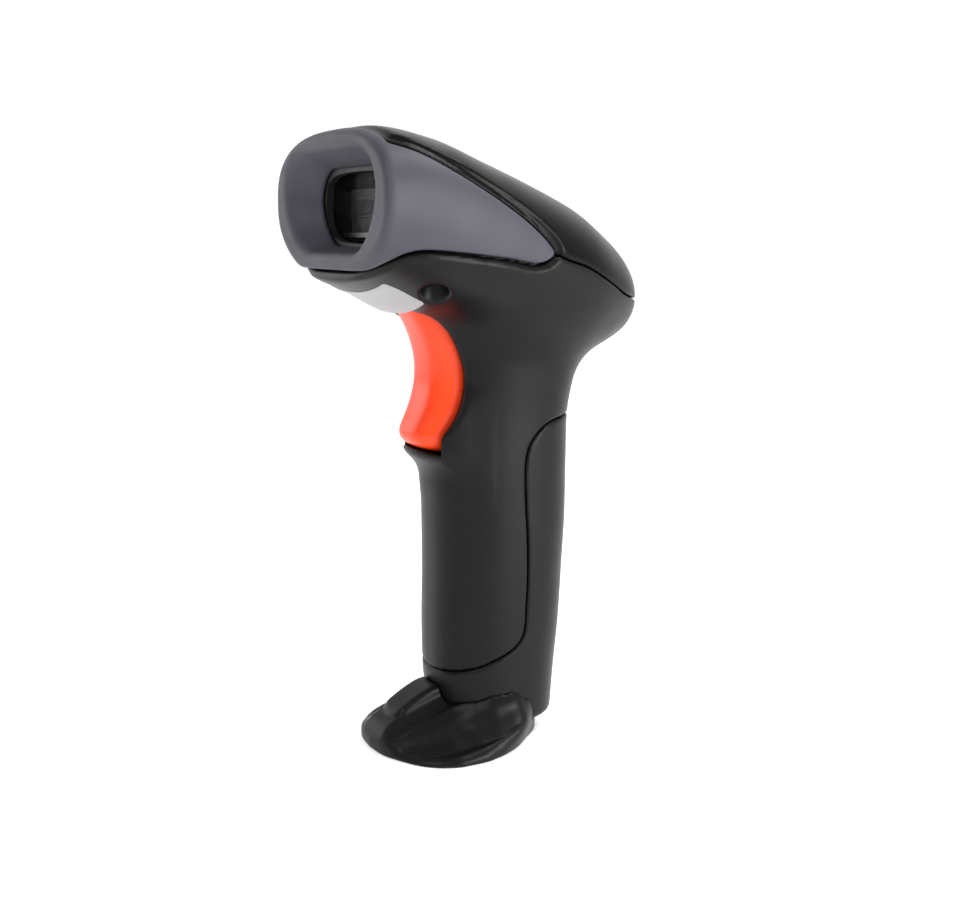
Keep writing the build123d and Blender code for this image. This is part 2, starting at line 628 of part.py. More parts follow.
def main_board_parts():
    """Decoder board with its chips, radio module, buzzer and screws."""
    front, rear = MAIN_BOARD_FRONT, MAIN_BOARD_FRONT + MAIN_BOARD_LENGTH
    wide, narrow = MAIN_BOARD_WIDTH / 2, MAIN_BOARD_REAR_WIDTH / 2
    bend = front + 0.4 * MAIN_BOARD_LENGTH
    corners = ((-wide, front), (wide, front), (wide, bend), (narrow, rear), (-narrow, rear), (-wide, bend))
    outline = Polyline(*corners, corners[0])
    board = Pos(0, 0, MAIN_BOARD_Z) * extrude(make_face(outline), amount=BOARD_THICKNESS)
    for x, y in BOARD_POSTS:
        board -= both_sides(rod(x, y, 0, WIDE, SMALL_SCREW_RADIUS + 0.15))
    top = MAIN_BOARD_Z + BOARD_THICKNESS
    chips = Part() + [
        slab(-12, -3, front + 6, front + 15, top, top + 1.2),
        slab(-14, -9.5, front + 16.5, front + 20, top, top + 1.0),
        slab(6, 12, front + 5, front + 9, top, top + 1.6),
    ]
    radio = slab(4, 14, front + 11, front + 13, top, top + 0.8)
    radio += slab(4, 14, front + 13, front + 24, top, top + 0.8)
    radio += slab(4.8, 13.2, front + 13.8, front + 23.2, top + 0.8, top + 2.2)
    buzzer_y = rear - BUZZER_RADIUS - 0.5
    buzzer = rod(BUZZER_X, buzzer_y, top, top + BUZZER_HEIGHT, BUZZER_RADIUS)
    buzzer -= rod(BUZZER_X, buzzer_y, top + BUZZER_HEIGHT - 1, top + BUZZER_HEIGHT + 1, 1.2)
    radio &= slab(x_from=BUZZER_X + BUZZER_RADIUS + 0.6)
    small_screw = (SMALL_SCREW_RADIUS, 1.8, 1.2, SMALL_SCREW_LENGTH - 0.5)
    screws = Part() + [both_sides(screw(*small_screw, x, y, top, -1)) for x, y in BOARD_POSTS]
    return {
        "main_board": board,
        "board_chips": chips,
        "radio_module": radio,
        "buzzer": buzzer,
        "board_screws": screws,
    }


def torsion_spring():
    """Return spring wound on the trigger pin between the cheeks, with one leg on each side."""
    length = SPRING_PITCH * SPRING_TURNS
    helix = Helix(pitch=SPRING_PITCH, height=length, radius=SPRING_COIL)
    start = Plane(origin=helix @ 0, z_dir=helix % 0) * Circle(SPRING_WIRE)
    end = Plane(origin=helix @ 1, z_dir=helix % 1) * Circle(SPRING_WIRE)
    spring = sweep(start, path=helix) + extrude(start, amount=-SPRING_LEG) + extrude(end, amount=SPRING_LEG)
    return Pos(-length / 2 + SPRING_X, PIVOT_Y, PIVOT_Z) * Rot(0, 90, 0) * spring


def switch_parts():
    """Tactile switch that the trigger presses, on its own small board."""
    face, back = SWITCH_FACE, SWITCH_FACE + SWITCH_DEPTH
    half = SWITCH_SIZE / 2
    body = slab(-half, half, face, back, RIB_Z - half, RIB_Z + half)
    body -= long_rod(0, RIB_Z, face - 1, face + PLUNGER_TRAVEL + 1.2, PLUNGER_RADIUS + SLIDE_GAP)
    plunger = long_rod(0, RIB_Z, face - PLUNGER_REACH, face + 1.0, PLUNGER_RADIUS)
    board_half = TRIGGER_BOARD_WIDTH / 2
    board_y, board_z = back + 0.02, RIB_Z - TRIGGER_BOARD_HEIGHT / 2
    board = slab(
        -board_half, board_half, board_y, board_y + BOARD_THICKNESS, board_z, board_z + TRIGGER_BOARD_HEIGHT
    )
    return {"switch_body": body, "switch_plunger": plunger, "trigger_board": board}


def battery_parts(lining):
    """Cell in its cradle, the two contact plates and the leads up to the main board."""
    inner, outer = CELL_RADIUS + FIT_GAP, CELL_RADIUS + FIT_GAP + HOLDER_WALL
    low = CELL_BOTTOM - CONTACT_THICKNESS - HOLDER_WALL
    high = CELL_TOP + CONTACT_THICKNESS + HOLDER_WALL
    cell = rod(0, CELL_Y, CELL_BOTTOM + 0.05, CELL_TOP - 1.2, CELL_RADIUS)
    cell += rod(0, CELL_Y, CELL_TOP - 1.3, CELL_TOP - 0.05, 3.0)
    webs = Part() + [
        slab(-WIDE, WIDE, -WIDE, CELL_Y, z - 1.0, z + 1.0) & rod(0, CELL_Y, z - 1.0, z + 1.0, 3 * CELL_RADIUS)
        for z in (low + 8, (low + high) / 2, high - 8)
    ]
    holder = rod(0, CELL_Y, low, high, outer) + (webs & lining)
    holder -= rod(0, CELL_Y, low + HOLDER_WALL, high - HOLDER_WALL, inner)
    holder -= slab(-7.0, 7.0, CELL_Y + 4.0, WIDE, low + HOLDER_WALL, high - HOLDER_WALL)
    holder -= slab(y_from=CELL_Y + CELL_RADIUS - 1.0, z_to=high - 2 * HOLDER_WALL)
    holder &= lining
    plate_radius = CELL_RADIUS - 3.0
    contacts = rod(0, CELL_Y, CELL_BOTTOM - CONTACT_THICKNESS, CELL_BOTTOM, plate_radius)
    contacts += rod(0, CELL_Y, CELL_TOP, CELL_TOP + CONTACT_THICKNESS, plate_radius)
    leads = both_sides(rod(2.5, CELL_Y + 7.5, high + 0.1, MAIN_BOARD_Z - 0.1, 0.65))
    return {"battery_cell": cell, "battery_holder": holder, "battery_contacts": contacts, "battery_leads": leads}


def charging_parts():
    """Charging board and its socket, which opens at the back of the handle's lower end."""
    board = slab(-7.5, 7.5, CHARGE_BOARD_Y, CHARGE_BOARD_Y + BOARD_THICKNESS, FLOOR_TOP + FIT_GAP, CHARGE_BOARD_TOP)
    front = CHARGE_BOARD_Y + BOARD_THICKNESS
    back = GRIP_DEPTH * 0.395
    half, tall = SOCKET_WIDTH / 2, SOCKET_HEIGHT / 2
    shell = slab(-half, half, front, back, SOCKET_RISE - tall, SOCKET_RISE + tall)
    shell -= slab(0.4 - half, half - 0.4, front + 0.8, back + 1, SOCKET_RISE - tall + 0.4, SOCKET_RISE + tall - 0.4)
    shell += slab(-3.2, 3.2, front + 0.4, back - 0.6, SOCKET_RISE - 0.35, SOCKET_RISE + 0.35)
    return {"charge_board": board, "charging_socket": shell}


def build():
    """Every piece by its node's name."""
    outer = head_form(0)
    cavity = head_form(CAVITY)
    middle = head_form(CAVITY - 0.8)
    shell = outer - cavity
    under_shell = head_form(BEZEL_WALL + UNDER_GAP) - cavity
    grip = grip_form(0)
    grip_cavity = grip_form(WALL)
    half = TRIGGER_WIDTH / 2
    pin_half = half + TRIGGER_GAP + PIN_OVERHANG
    bulkhead = head_form(CAVITY + FIT_GAP) & slab(y_from=THROAT_Y + FIT_GAP / 2, y_to=WINDOW_Y - FIT_GAP / 2)
    label = head_form(-LABEL_LIFT - LABEL_THICKNESS) - head_form(-LABEL_LIFT)
    label_y = MOUTH_Y + LABEL_FRONT
    head_seat = WELL_TOP - WELL_WALL - 0.4
    foot_seat = GRIP_BOTTOM - 1.6
    big_screw = (SCREW_RADIUS, SCREW_HEAD_RADIUS, SCREW_HEAD_HEIGHT)
    pieces = {
        "nose_bezel": nose_bezel(outer, head_form(BEZEL_WALL)),
        "top_cover": top_cover(shell, under_shell, middle),
        "main_housing": main_housing(shell, under_shell, cavity, middle, grip, grip_cavity),
        "rear_grip": rear_grip(grip, grip_cavity),
        "foot": foot(),
        "trigger": trigger(),
        "trigger_pin": cross_rod(-pin_half, pin_half, PIVOT_Y, PIVOT_Z, PIN_RADIUS),
        "trigger_spring": torsion_spring(),
        "window_frame": bulkhead - throat_prism(THROAT_Y - 1, WINDOW_Y + 1, -0.3),
        "scan_window": throat_prism(WINDOW_Y, WINDOW_Y + WINDOW_DEPTH, WINDOW_LAP),
        "label": label
        & slab(-LABEL_HALF_WIDTH, LABEL_HALF_WIDTH, label_y, label_y + LABEL_LENGTH, 0, HEAD_Z + 0.5 * HEAD_HEIGHT),
        "head_screws": both_sides(screw(*big_screw, SCREW_LENGTH, HEAD_SCREW_X, HEAD_SCREW_Y, head_seat)),
        "foot_screws": both_sides(screw(*big_screw, SCREW_LENGTH - 2, FOOT_SCREW_X, FOOT_SCREW_Y, foot_seat)),
        "engine_flex": flex_cable(),
    }
    for group in (engine_parts(), main_board_parts(), switch_parts(), battery_parts(lining_form()), charging_parts()):
        pieces.update(group)
    return pieces


def lining_form():
    """The handle's inside with a fitting gap, for pieces that seat against its wall."""
    return grip_form(WALL + FIT_GAP)


os.makedirs("parts", exist_ok=True)
with SkipClean():
    for name, piece in build().items():
        export_step(piece, f"parts/{name}.step")
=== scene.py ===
import math

import bpy
import numpy as np
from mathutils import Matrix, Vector


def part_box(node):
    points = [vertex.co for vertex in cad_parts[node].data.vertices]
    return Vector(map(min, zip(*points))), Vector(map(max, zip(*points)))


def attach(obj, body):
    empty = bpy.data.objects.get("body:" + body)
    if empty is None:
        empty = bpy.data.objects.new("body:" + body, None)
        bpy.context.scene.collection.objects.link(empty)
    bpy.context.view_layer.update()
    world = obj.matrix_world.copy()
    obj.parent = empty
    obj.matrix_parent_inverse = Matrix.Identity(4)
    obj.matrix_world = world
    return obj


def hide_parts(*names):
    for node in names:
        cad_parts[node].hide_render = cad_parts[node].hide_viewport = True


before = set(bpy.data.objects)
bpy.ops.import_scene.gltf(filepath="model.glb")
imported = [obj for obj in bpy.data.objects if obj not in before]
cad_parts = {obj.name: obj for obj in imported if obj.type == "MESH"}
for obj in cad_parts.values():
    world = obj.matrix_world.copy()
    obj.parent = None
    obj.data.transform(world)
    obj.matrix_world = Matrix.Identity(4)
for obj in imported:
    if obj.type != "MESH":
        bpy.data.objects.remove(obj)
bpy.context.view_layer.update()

bl_info = {
    "name": "Handheld barcode scanner",
    "version": (1, 0, 0),
    "blender": (4, 5, 0),
    "location": "3D View > Sidebar > Scanner",
    "description": "Builds the covers, trigger, finishes and studio of a pistol grip barcode scanner",
    "category": "Object",
}

# Shapes are worked out in millimetres, +Z up and the nose along -Y, and become metres in add_mesh().
MILLIMETRE = 0.001

# Head outline: share of length, then top, middle and bottom as shares of height,
# half width as a share of half the width, roundness above and below the middle
HEAD_STATIONS = (
    (0.000, 0.975, 0.67, 0.350, 1.000, 2.7, 2.15),
    (0.100, 0.995, 0.66, 0.280, 1.000, 2.7, 2.15),
    (0.220, 0.965, 0.63, 0.190, 0.975, 2.5, 2.20),
    (0.380, 0.880, 0.55, 0.118, 0.915, 2.4, 2.15),
    (0.555, 0.785, 0.465, 0.052, 0.820, 2.2, 2.10),
    (0.705, 0.695, 0.390, 0.014, 0.705, 2.0, 2.00),
    (0.830, 0.580, 0.322, 0.010, 0.545, 1.9, 2.00),
    (0.925, 0.460, 0.272, 0.060, 0.365, 1.9, 2.00),
    (0.975, 0.352, 0.240, 0.130, 0.200, 1.9, 2.00),
    (1.000, 0.240, 0.228, 0.216, 0.020, 2.0, 2.00),
)
# Handle outline: share of height, front and back as shares of depth, half width share, roundness
GRIP_STATIONS = (
    (0.030, -0.430, 0.385, 0.94, 2.4),
    (0.180, -0.490, 0.420, 0.97, 2.4),
    (0.300, -0.495, 0.453, 0.99, 2.4),
    (0.450, -0.487, 0.477, 1.00, 2.4),
    (0.600, -0.490, 0.500, 1.00, 2.4),
    (0.720, -0.510, 0.503, 1.01, 2.4),
    (0.840, -0.513, 0.512, 1.03, 2.3),
    (0.970, -0.513, 0.580, 1.10, 2.3),
    (1.120, -0.500, 0.710, 1.28, 2.2),
)
# The foot from toe to heel, as rows of place along Y and a size. First its edge on the floor: half width.
FOOT_PLAN = (
    (-36.6, 3.0), (-35.6, 6.6), (-33.8, 10.6), (-32.4, 13.4), (-30.6, 16.4), (-28.3, 18.9), (-25.3, 21.0),
    (-20.3, 22.7), (-14.5, 22.9), (-9.8, 21.9), (-4.2, 19.4), (2.8, 14.0), (6.0, 11.4), (10.0, 7.0),
)
PLAN_WIDTH = 46.0
# The ridge on each side: height, and distance from the middle
RIDGE_TOP = (
    (-36.0, 2.6), (-34.5, 3.4), (-32.8, 4.3), (-25.5, 7.3), (-18.6, 10.2), (-12.7, 12.7), (-7.7, 14.2),
    (-2.6, 14.3), (1.7, 11.9), (4.4, 9.4), (9.0, 3.0),
)
RIDGE_SIDE = ((-36, 9.5), (-18, 9.8), (-12.7, 12.3), (-7.7, 14.5), (-2.6, 15.1), (1.7, 15.0), (9, 13.0))
# Heights of the channel beside the tongue, of the foot's outer edge and of the tongue
CHANNEL_FLOOR = ((-36, 3.2), (-34.5, 5.4), (-33, 6.9), (-31, 8.1), (-24.2, 10.9), (-18.4, 12.7), (-12, 14.2))
FOOT_EDGE = ((-36, 2.0), (-30, 1.2), (-20, 1.7), (-8, 3.2), (2, 6.0), (10, 5.0))
TONGUE_TOP = ((-36, 2.0), (-34, 5.0), (-31, 8.9), (-26.5, 12.0), (-23, 13.8), (-18.9, 15.4), (-12, 16.6))
# Seams of the head in side view: share of head length, share of head height
UPPER_SEAM = ((0.112, 0.865), (0.190, 0.808), (0.277, 0.738), (0.360, 0.668), (0.435, 0.596), (0.498, 0.522))
SEAM_TIP = (0.527, 0.462)
LOWER_SEAM = ((0.472, 0.425), (0.370, 0.448), (0.244, 0.470), (0.130, 0.484), (0.075, 0.470), (0.036, 0.430))
CHIN_SEAM = ((0.016, 0.398), (-0.020, 0.380), (-0.050, 0.378))
BROW_SEAM = 0.902
TAIL_SEAM = ((0.590, 0.432), (0.661, 0.402), (0.790, 0.318), (0.870, 0.268), (1.000, 0.232), (1.200, 0.200))
# Handle seam in side view: share of handle depth, share of handle height
GRIP_SEAM = (
    (1.200, 0.870), (0.600, 0.850), (0.360, 0.843), (0.200, 0.832), (0.100, 0.806), (0.035, 0.765),
    (0.020, 0.690), (0.045, 0.520), (0.040, 0.380), (0.000, 0.275), (-0.230, 0.223), (-0.440, 0.196),
    (-0.600, 0.176), (-1.200, 0.150),
)
# The trigger's half width: height from the pivot, share of the full half width
TRIGGER_SIDES = ((-35, 0.86), (-28, 0.93), (-20, 1.0), (-8, 1.0), (8, 0.88))
SCREW_HEAD_RADIUS = 2.5
# Soft boxes: name, place and target in metres, width, power in watts
LIGHTS = (
    ("key", (0.45, -0.70, 0.80), (0.0, -0.01, 0.10), 0.45, 3.0),
    ("crown", (0.10, 0.36, 0.80), (0.0, 0.0, 0.12), 0.40, 3.4),
    ("side", (0.80, 0.42, 0.20), (0.0, 0.0, 0.08), 0.45, 7.0),
    ("fill", (-0.70, -0.55, 0.30), (0.0, 0.0, 0.08), 0.50, 1.1),
)
# The camera: place in metres, degrees round from the nose and down from level, lens in millimetres
CAMERA_PLACE, CAMERA_TURN, CAMERA_PITCH, CAMERA_LENS = (0.2765, -0.1570, 0.1306), 61.0, 10.2031, 46.4625
# The part of a noise texture's range that it mostly fills
NOISE_LOW, NOISE_HIGH = 0.3, 0.7


# ---------------------------------------------------------------- curves and fields


def smooth_through(xs, ys, at):
    """A curve through points with no overshoot: a monotone cubic."""
    xs, ys = np.asarray(xs, float), np.asarray(ys, float)
    step, rise = np.diff(xs), np.diff(ys)
    slope = rise / step
    tangent = np.zeros(len(xs))
    tangent[0], tangent[-1] = slope[0], slope[-1]
    same = slope[:-1] * slope[1:] > 0
    weight_a, weight_b = 2 * step[1:] + step[:-1], step[1:] + 2 * step[:-1]
    safe = np.where(same, slope[:-1], 1.0), np.where(same, slope[1:], 1.0)
    tangent[1:-1] = np.where(same, (weight_a + weight_b) / (weight_a / safe[0] + weight_b / safe[1]), 0.0)
    at = np.clip(np.asarray(at, float), xs[0], xs[-1])
    k = np.clip(np.searchsorted(xs, at) - 1, 0, len(step) - 1)
    t = (at - xs[k]) / step[k]
    return (
        (1 + 2 * t) * (1 - t) ** 2 * ys[k]
        + t * (1 - t) ** 2 * step[k] * tangent[k]
        + t * t * (3 - 2 * t) * ys[k + 1]
        + t * t * (t - 1) * step[k] * tangent[k + 1]
    )


def along(table, at):
    """Reads rows of place and size as one smooth curve."""
    places, values = zip(*table)
    return smooth_through(places, values, at)


def smooth_path(points, pieces=8):
    """A rounded line through points in a plane."""
    points = [np.array(p, float) for p in points]
    points = [2 * points[0] - points[1], *points, 2 * points[-1] - points[-2]]
    path = []
    for a, b, c, d in zip(points, points[1:], points[2:], points[3:]):
        for i in range(pieces):
            t = i / pieces
            bend, twist = 2 * a - 5 * b + 4 * c - d, 3 * b - a - 3 * c + d
            path.append(0.5 * (2 * b + (c - a) * t + bend * t * t + twist * t**3))
    path.append(points[-2])
    return path


def inside_outline(outline, y, z):
    """Signed distance to a closed outline in side view, below zero inside it."""
    nearest = np.full(y.shape, 1e9)
    inside = np.zeros(y.shape, bool)
    for (y0, z0), (y1, z1) in zip(outline, outline[1:] + outline[:1]):
        dy, dz = y1 - y0, z1 - z0
        length = dy * dy + dz * dz
        if length < 1e-9:
            continue
        t = np.clip(((y - y0) * dy + (z - z0) * dz) / length, 0, 1)
        nearest = np.minimum(nearest, (y - y0 - t * dy) ** 2 + (z - z0 - t * dz) ** 2)
        crosses = (z0 > z) != (z1 > z)
        inside ^= crosses & (y < dy * (z - z0) / (dz if dz else 1e-9) + y0)
    distance = np.sqrt(nearest)
    return np.where(inside, -distance, distance)


def both(a, b, round_by=0.0):
    """Where two forms meet, with the edge between them rounded."""
    if not round_by:
        return np.maximum(a, b)
    h = np.maximum(round_by - np.abs(a - b), 0) / round_by
    return np.maximum(a, b) + h * h * round_by * 0.25


def either(a, b, round_by=0.0):
    """Two forms joined, with the corner between them filled."""
    return -both(-a, -b, round_by)


def ease(share):
    """Goes smoothly from 0 to 1."""
    share = np.clip(share, 0, 1)
    return share * share * (3 - 2 * share)


def as_distance(field, step):
    """Scales a form's field so that it reads nearly in millimetres near its surface."""
    slopes = np.gradient(field, step)
    size = np.sqrt(sum(s * s for s in slopes))
    return field / np.maximum(size, 0.15)


def oval(across, up, half, low, high, low_power, high_power):
    """An oval section whose lower and upper halves may differ: below zero inside."""
    power = np.where(up >= 0, high_power, low_power)
    reach = np.where(up >= 0, high, low)
    total = (np.abs(across) / half) ** power + (np.abs(up) / reach) ** power
    return (np.maximum(total, 1e-12) ** (1 / power) - 1) * np.minimum(half, reach)


def box_field(x, y, z, low, high):
    """Distance to a box given by two corners."""
    parts = [np.abs(v - (a + b) / 2) - abs(b - a) / 2 for v, a, b in zip((x, y, z), low, high)]
    outside = np.sqrt(sum(np.maximum(p, 0) ** 2 for p in parts))
    return outside + np.minimum(np.maximum(np.maximum(parts[0], parts[1]), parts[2]), 0)


class Grid:
    """Points in a box, evenly spaced, and the forms worked out at them."""

    def __init__(self, low, high, step):
        axes = [np.arange(a, b + step, step) for a, b in zip(low, high)]
        self.low, self.step = np.array(low, float), step
        self.x = axes[0][:, None, None]
        self.y = axes[1][None, :, None]
        self.z = axes[2][None, None, :]
        self.side_y, self.side_z = axes[1][:, None] + 0 * axes[2], axes[2][None, :] + 0 * axes[1][:, None]

    def side(self, outline):
        return inside_outline(outline, self.side_y, self.side_z)[None, :, :]


def head_point(sizes, along, up):
    return (sizes.mouth_y + along * sizes.head_length, sizes.grip_height + up * sizes.head_height)


def head_columns(sizes, y):
    """The head's middle height, its reach above and below that, half width and roundness at each y."""
    share = (y - sizes.mouth_y) / sizes.head_length
    table = np.array(HEAD_STATIONS)
    along = table[:, 0]
    middle = smooth_through(along, table[:, 2], share) * sizes.head_height
    high = smooth_through(along, (table[:, 1] - table[:, 2]) ** 2, share)
    low = smooth_through(along, (table[:, 2] - table[:, 3]) ** 2, share)
    half = smooth_through(along, table[:, 4] ** 2, share)
    return (
        sizes.grip_height + middle,
        np.sqrt(high) * sizes.head_height,
        np.sqrt(low) * sizes.head_height,
        np.sqrt(half) * sizes.head_width / 2,
        smooth_through(along, table[:, 5], share),
        smooth_through(along, table[:, 6], share),
    )


def head_field(grid, sizes):
    middle, high, low, half, top_power, low_power = head_columns(sizes, grid.y)
    shape = oval(grid.x, grid.z - middle, half, low, high, low_power, top_power)
    shape = as_distance(shape, grid.step)
    shape = both(shape, sizes.mouth_y - grid.y, sizes.rim_round)
    return both(shape, grid.y - sizes.mouth_y - sizes.head_length, 0.5)


def grip_field(grid, sizes):
    """The handle: level ovals with front, back, half width and roundness read from a table."""
    table = np.array(GRIP_STATIONS)
    share = grid.z / sizes.grip_height
    front, back, half, power = (smooth_through(table[:, 0], column, share) for column in table[:, 1:].T)
    front, back, half = front * sizes.grip_depth, back * sizes.grip_depth, half * sizes.grip_width / 2
    middle = (front + back) / 2
    shape = oval(grid.x, grid.y - middle, half, middle - front, back - middle, power, power)
    shape = both(as_distance(shape, grid.step), sizes.grip_bottom - grid.z, 2.0)
    # The handle runs on into the head, and ends inside it
    inside_head = 18.0
    return both(shape, grid.z - sizes.grip_height - inside_head)


def guard_field(grid, sizes):
    """The shelf that stands out of the handle under the trigger, with a cheek on each side of it."""
    x, y, z = np.abs(grid.x), grid.y, grid.z
    shelf = sizes.slot_floor + 2.2
    cheek_half, cheek_rise, hang, back_y, round_by = 13.2, 14.0, 12.0, -10.0, 4.0
    # The front is bowed, and runs back into the handle below the shelf
    front_y, bow, sink, sink_height = -24.0, 0.030, 9.0, 9.5
    front = front_y + bow * x**2 + sink * ease((shelf - 0.8 - z) / sink_height)
    shape = both(as_distance(front - y, grid.step), z - shelf - cheek_rise, round_by)
    shape = both(both(shape, x - cheek_half, round_by), y - back_y)
    return both(shape, shelf - hang - z)


def slot_field(grid, sizes):
    """The opening that the trigger swings in, with its arc floor."""
    behind_pivot, over_pivot = 5.5, 5.0
    from_pivot = np.sqrt((grid.y - sizes.pivot_y) ** 2 + (grid.z - sizes.pivot_z) ** 2)
    sides = np.abs(grid.x) - sizes.trigger_half - sizes.trigger_gap
    shape = both(sides, from_pivot - sizes.trigger_reach - sizes.trigger_gap)
    shape = both(shape, grid.y - sizes.pivot_y - behind_pivot)
    return both(shape, grid.z - sizes.pivot_z - over_pivot)


def scoop_field(grid, sizes):
    """The round hollow in the housing that shows the trigger's flanks as a crescent."""
    radius, before_pivot, under_pivot, under_slot = 17.4, 19.3, 14.4, 4.0
    across, up = grid.y - sizes.pivot_y + before_pivot, grid.z - sizes.pivot_z + under_pivot
    return both(np.sqrt(across**2 + up**2) - radius, sizes.slot_floor - under_slot - grid.z)


def seam_lip(plain, region, near, deep, reach):
    """A strip inside the skin that reaches under the cover across a seam, and keeps light out of it."""
    return both(both(plain + near, -(plain + deep)), region - reach)


def body_field(grid, sizes):
    """Head and handle flowing into each other."""
    return either(head_field(grid, sizes), grip_field(grid, sizes), sizes.neck_fillet)


def bumper_outline(sizes):
    front, top = sizes.mouth_y - 20, 400.0
    back = sizes.mouth_y + sizes.rim_depth
    seam = [head_point(sizes, *p) for p in (*UPPER_SEAM, SEAM_TIP, *LOWER_SEAM)]
    path = smooth_path([(back, head_point(sizes, 0, BROW_SEAM)[1]), *seam])
    chin = [head_point(sizes, *p) for p in CHIN_SEAM]
    return [(front, top), (back, top), *[tuple(p) for p in path], *chin, (chin[-1][0], 0.0), (front, 0.0)]


def upper_outline(sizes):
    tip = head_point(sizes, *SEAM_TIP)
    tail = smooth_path([(sizes.mouth_y - 60, tip[1] + 6.0), (tip[0] - 12.0, tip[1] + 2.0), tip,
                        *[head_point(sizes, *p) for p in TAIL_SEAM]])
    return [*[tuple(p) for p in tail], (300.0, 300.0), (-300.0, 300.0)]


def rear_outline(sizes):
    path = smooth_path([(a * sizes.grip_depth, b * sizes.grip_height) for a, b in GRIP_SEAM])
    return [*[tuple(p) for p in path], (-300.0, -300.0), (300.0, -300.0)]


def mouth_field(grid, sizes):
    """The funnel from the mouth to the window, narrower at its foot than at its crown."""
    share = np.clip((grid.y - sizes.mouth_y) / sizes.funnel_depth, -0.4, 1.05)
    half = sizes.mouth_half + (sizes.throat_half - sizes.mouth_half) * share
    low = sizes.mouth_low + (sizes.throat_low - sizes.mouth_low) * share
    high = sizes.mouth_high + (sizes.throat_high - sizes.mouth_high) * share
    corner = sizes.mouth_corner + (sizes.throat_corner - sizes.mouth_corner) * share
    middle, reach = (low + high) / 2, (high - low) / 2
    narrower = 0.12 * np.clip((middle + 2 - grid.z) / reach, 0, 1)
    across = np.abs(grid.x) - half * (1 - narrower) + corner
    up = np.abs(grid.z - middle) - reach + corner
    beyond = np.sqrt(np.maximum(across, 0) ** 2 + np.maximum(up, 0) ** 2)
    return beyond + np.minimum(np.maximum(across, up), 0) - corner


# ---------------------------------------------------------------- meshes

CORNERS = [(i, j, k) for i in (0, 1) for j in (0, 1) for k in (0, 1)]
EDGES = [(a, b) for a in range(8) for b in range(a + 1, 8) if bin(a ^ b).count("1") == 1]


def sample(field, grid, points):
    """The field and its slope at points between the grid's."""
    place = (points - grid.low) / grid.step
    cell = np.clip(place.astype(int), 0, np.array(field.shape) - 2)
    t = np.clip(place - cell, 0, 1)
    c = [field[cell[:, 0] + i, cell[:, 1] + j, cell[:, 2] + k] for i, j, k in CORNERS]
    tx, ty, tz = t.T
    ux, uy, uz = 1 - tx, 1 - ty, 1 - tz
    value = dx = dy = dz = 0
    for v, (i, j, k) in zip(c, CORNERS):
        wx, wy, wz = (tx if i else ux), (ty if j else uy), (tz if k else uz)
        value = value + v * wx * wy * wz
        dx = dx + v * (1 if i else -1) * wy * wz
        dy = dy + v * (1 if j else -1) * wx * wz
        dz = dz + v * (1 if k else -1) * wx * wy
    return value, np.stack([dx, dy, dz], 1) / grid.step


def skin(field, grid):
    """A quad mesh on the surface where a field is zero."""
    field = np.ascontiguousarray(field, np.float32)
    solid = field < 0
    sizes = [n - 1 for n in field.shape]
    count = sum(
        solid[i : i + sizes[0], j : j + sizes[1], k : k + sizes[2]].astype(np.int8) for i, j, k in CORNERS
    )
    cells = np.argwhere((count > 0) & (count < 8))
    number = np.full(count.shape, -1, np.int64)
    number[tuple(cells.T)] = np.arange(len(cells))
    values = np.stack([field[cells[:, 0] + i, cells[:, 1] + j, cells[:, 2] + k] for i, j, k in CORNERS], 1)
    total, hits = np.zeros((len(cells), 3)), np.zeros(len(cells))
    corners = np.array(CORNERS, float)
    for a, b in EDGES:
        crossed = (values[:, a] < 0) != (values[:, b] < 0)
        gap = values[:, a] - values[:, b]
        t = np.where(crossed, values[:, a] / np.where(crossed, gap, 1), 0)
        total += np.where(crossed[:, None], corners[a] + t[:, None] * (corners[b] - corners[a]), 0)
        hits += crossed
    points = grid.low + (cells + total / hits[:, None]) * grid.step
    for _ in range(3):
        value, slope = sample(field, grid, points)
        size = np.maximum((slope**2).sum(1), 0.2)
        move = -value / size
        points += np.clip(move, -0.3 * grid.step, 0.3 * grid.step)[:, None] * slope
    quads = []
    for axis in range(3):
        head = np.take(solid, range(field.shape[axis] - 1), axis)
        tail = np.take(solid, range(1, field.shape[axis]), axis)
        found = np.argwhere(head != tail)
        b, c = (axis + 1) % 3, (axis + 2) % 3
        found = found[(found[:, b] > 0) & (found[:, c] > 0)]
        found = found[(found[:, b] < field.shape[b] - 1) & (found[:, c] < field.shape[c] - 1)]
        around = []
        for db, dc in ((1, 1), (0, 1), (0, 0), (1, 0)):
            cell = found.copy()
            cell[:, b] -= db
            cell[:, c] -= dc
            around.append(number[tuple(cell.T)])
        ring = np.stack(around, 1)
        outward = head[tuple(found.T)]
        ring[~outward] = ring[~outward][:, ::-1]
        quads.append(ring)
    return points, np.concatenate(quads)


def add_mesh(name, points, faces, material, body="casing", replaces=(), slot=None, smooth=True):
    """Makes a piece from points in millimetres, and ties it to the frame."""
    mesh = bpy.data.meshes.new(name)
    mesh.vertices.add(len(points))
    mesh.vertices.foreach_set("co", (np.asarray(points, float) * MILLIMETRE).astype(np.float32).ravel())
    faces = np.asarray(faces)
    mesh.loops.add(faces.size)
    mesh.loops.foreach_set("vertex_index", faces.ravel().astype(np.int32))
    mesh.polygons.add(len(faces))
    mesh.polygons.foreach_set("loop_start", np.arange(0, faces.size, faces.shape[1], dtype=np.int32))
    mesh.polygons.foreach_set("loop_total", np.full(len(faces), faces.shape[1], np.int32))
    mesh.update(calc_edges=True)
    mesh.validate()
    mesh.polygons.foreach_set("use_smooth", np.full(len(mesh.polygons), smooth))
    mesh.materials.append(material)
    piece = bpy.data.objects.new(name, mesh)
    bpy.context.scene.collection.objects.link(piece)
    if body:
        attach(piece, body)
    if replaces:
        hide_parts(*replaces)
    return piece


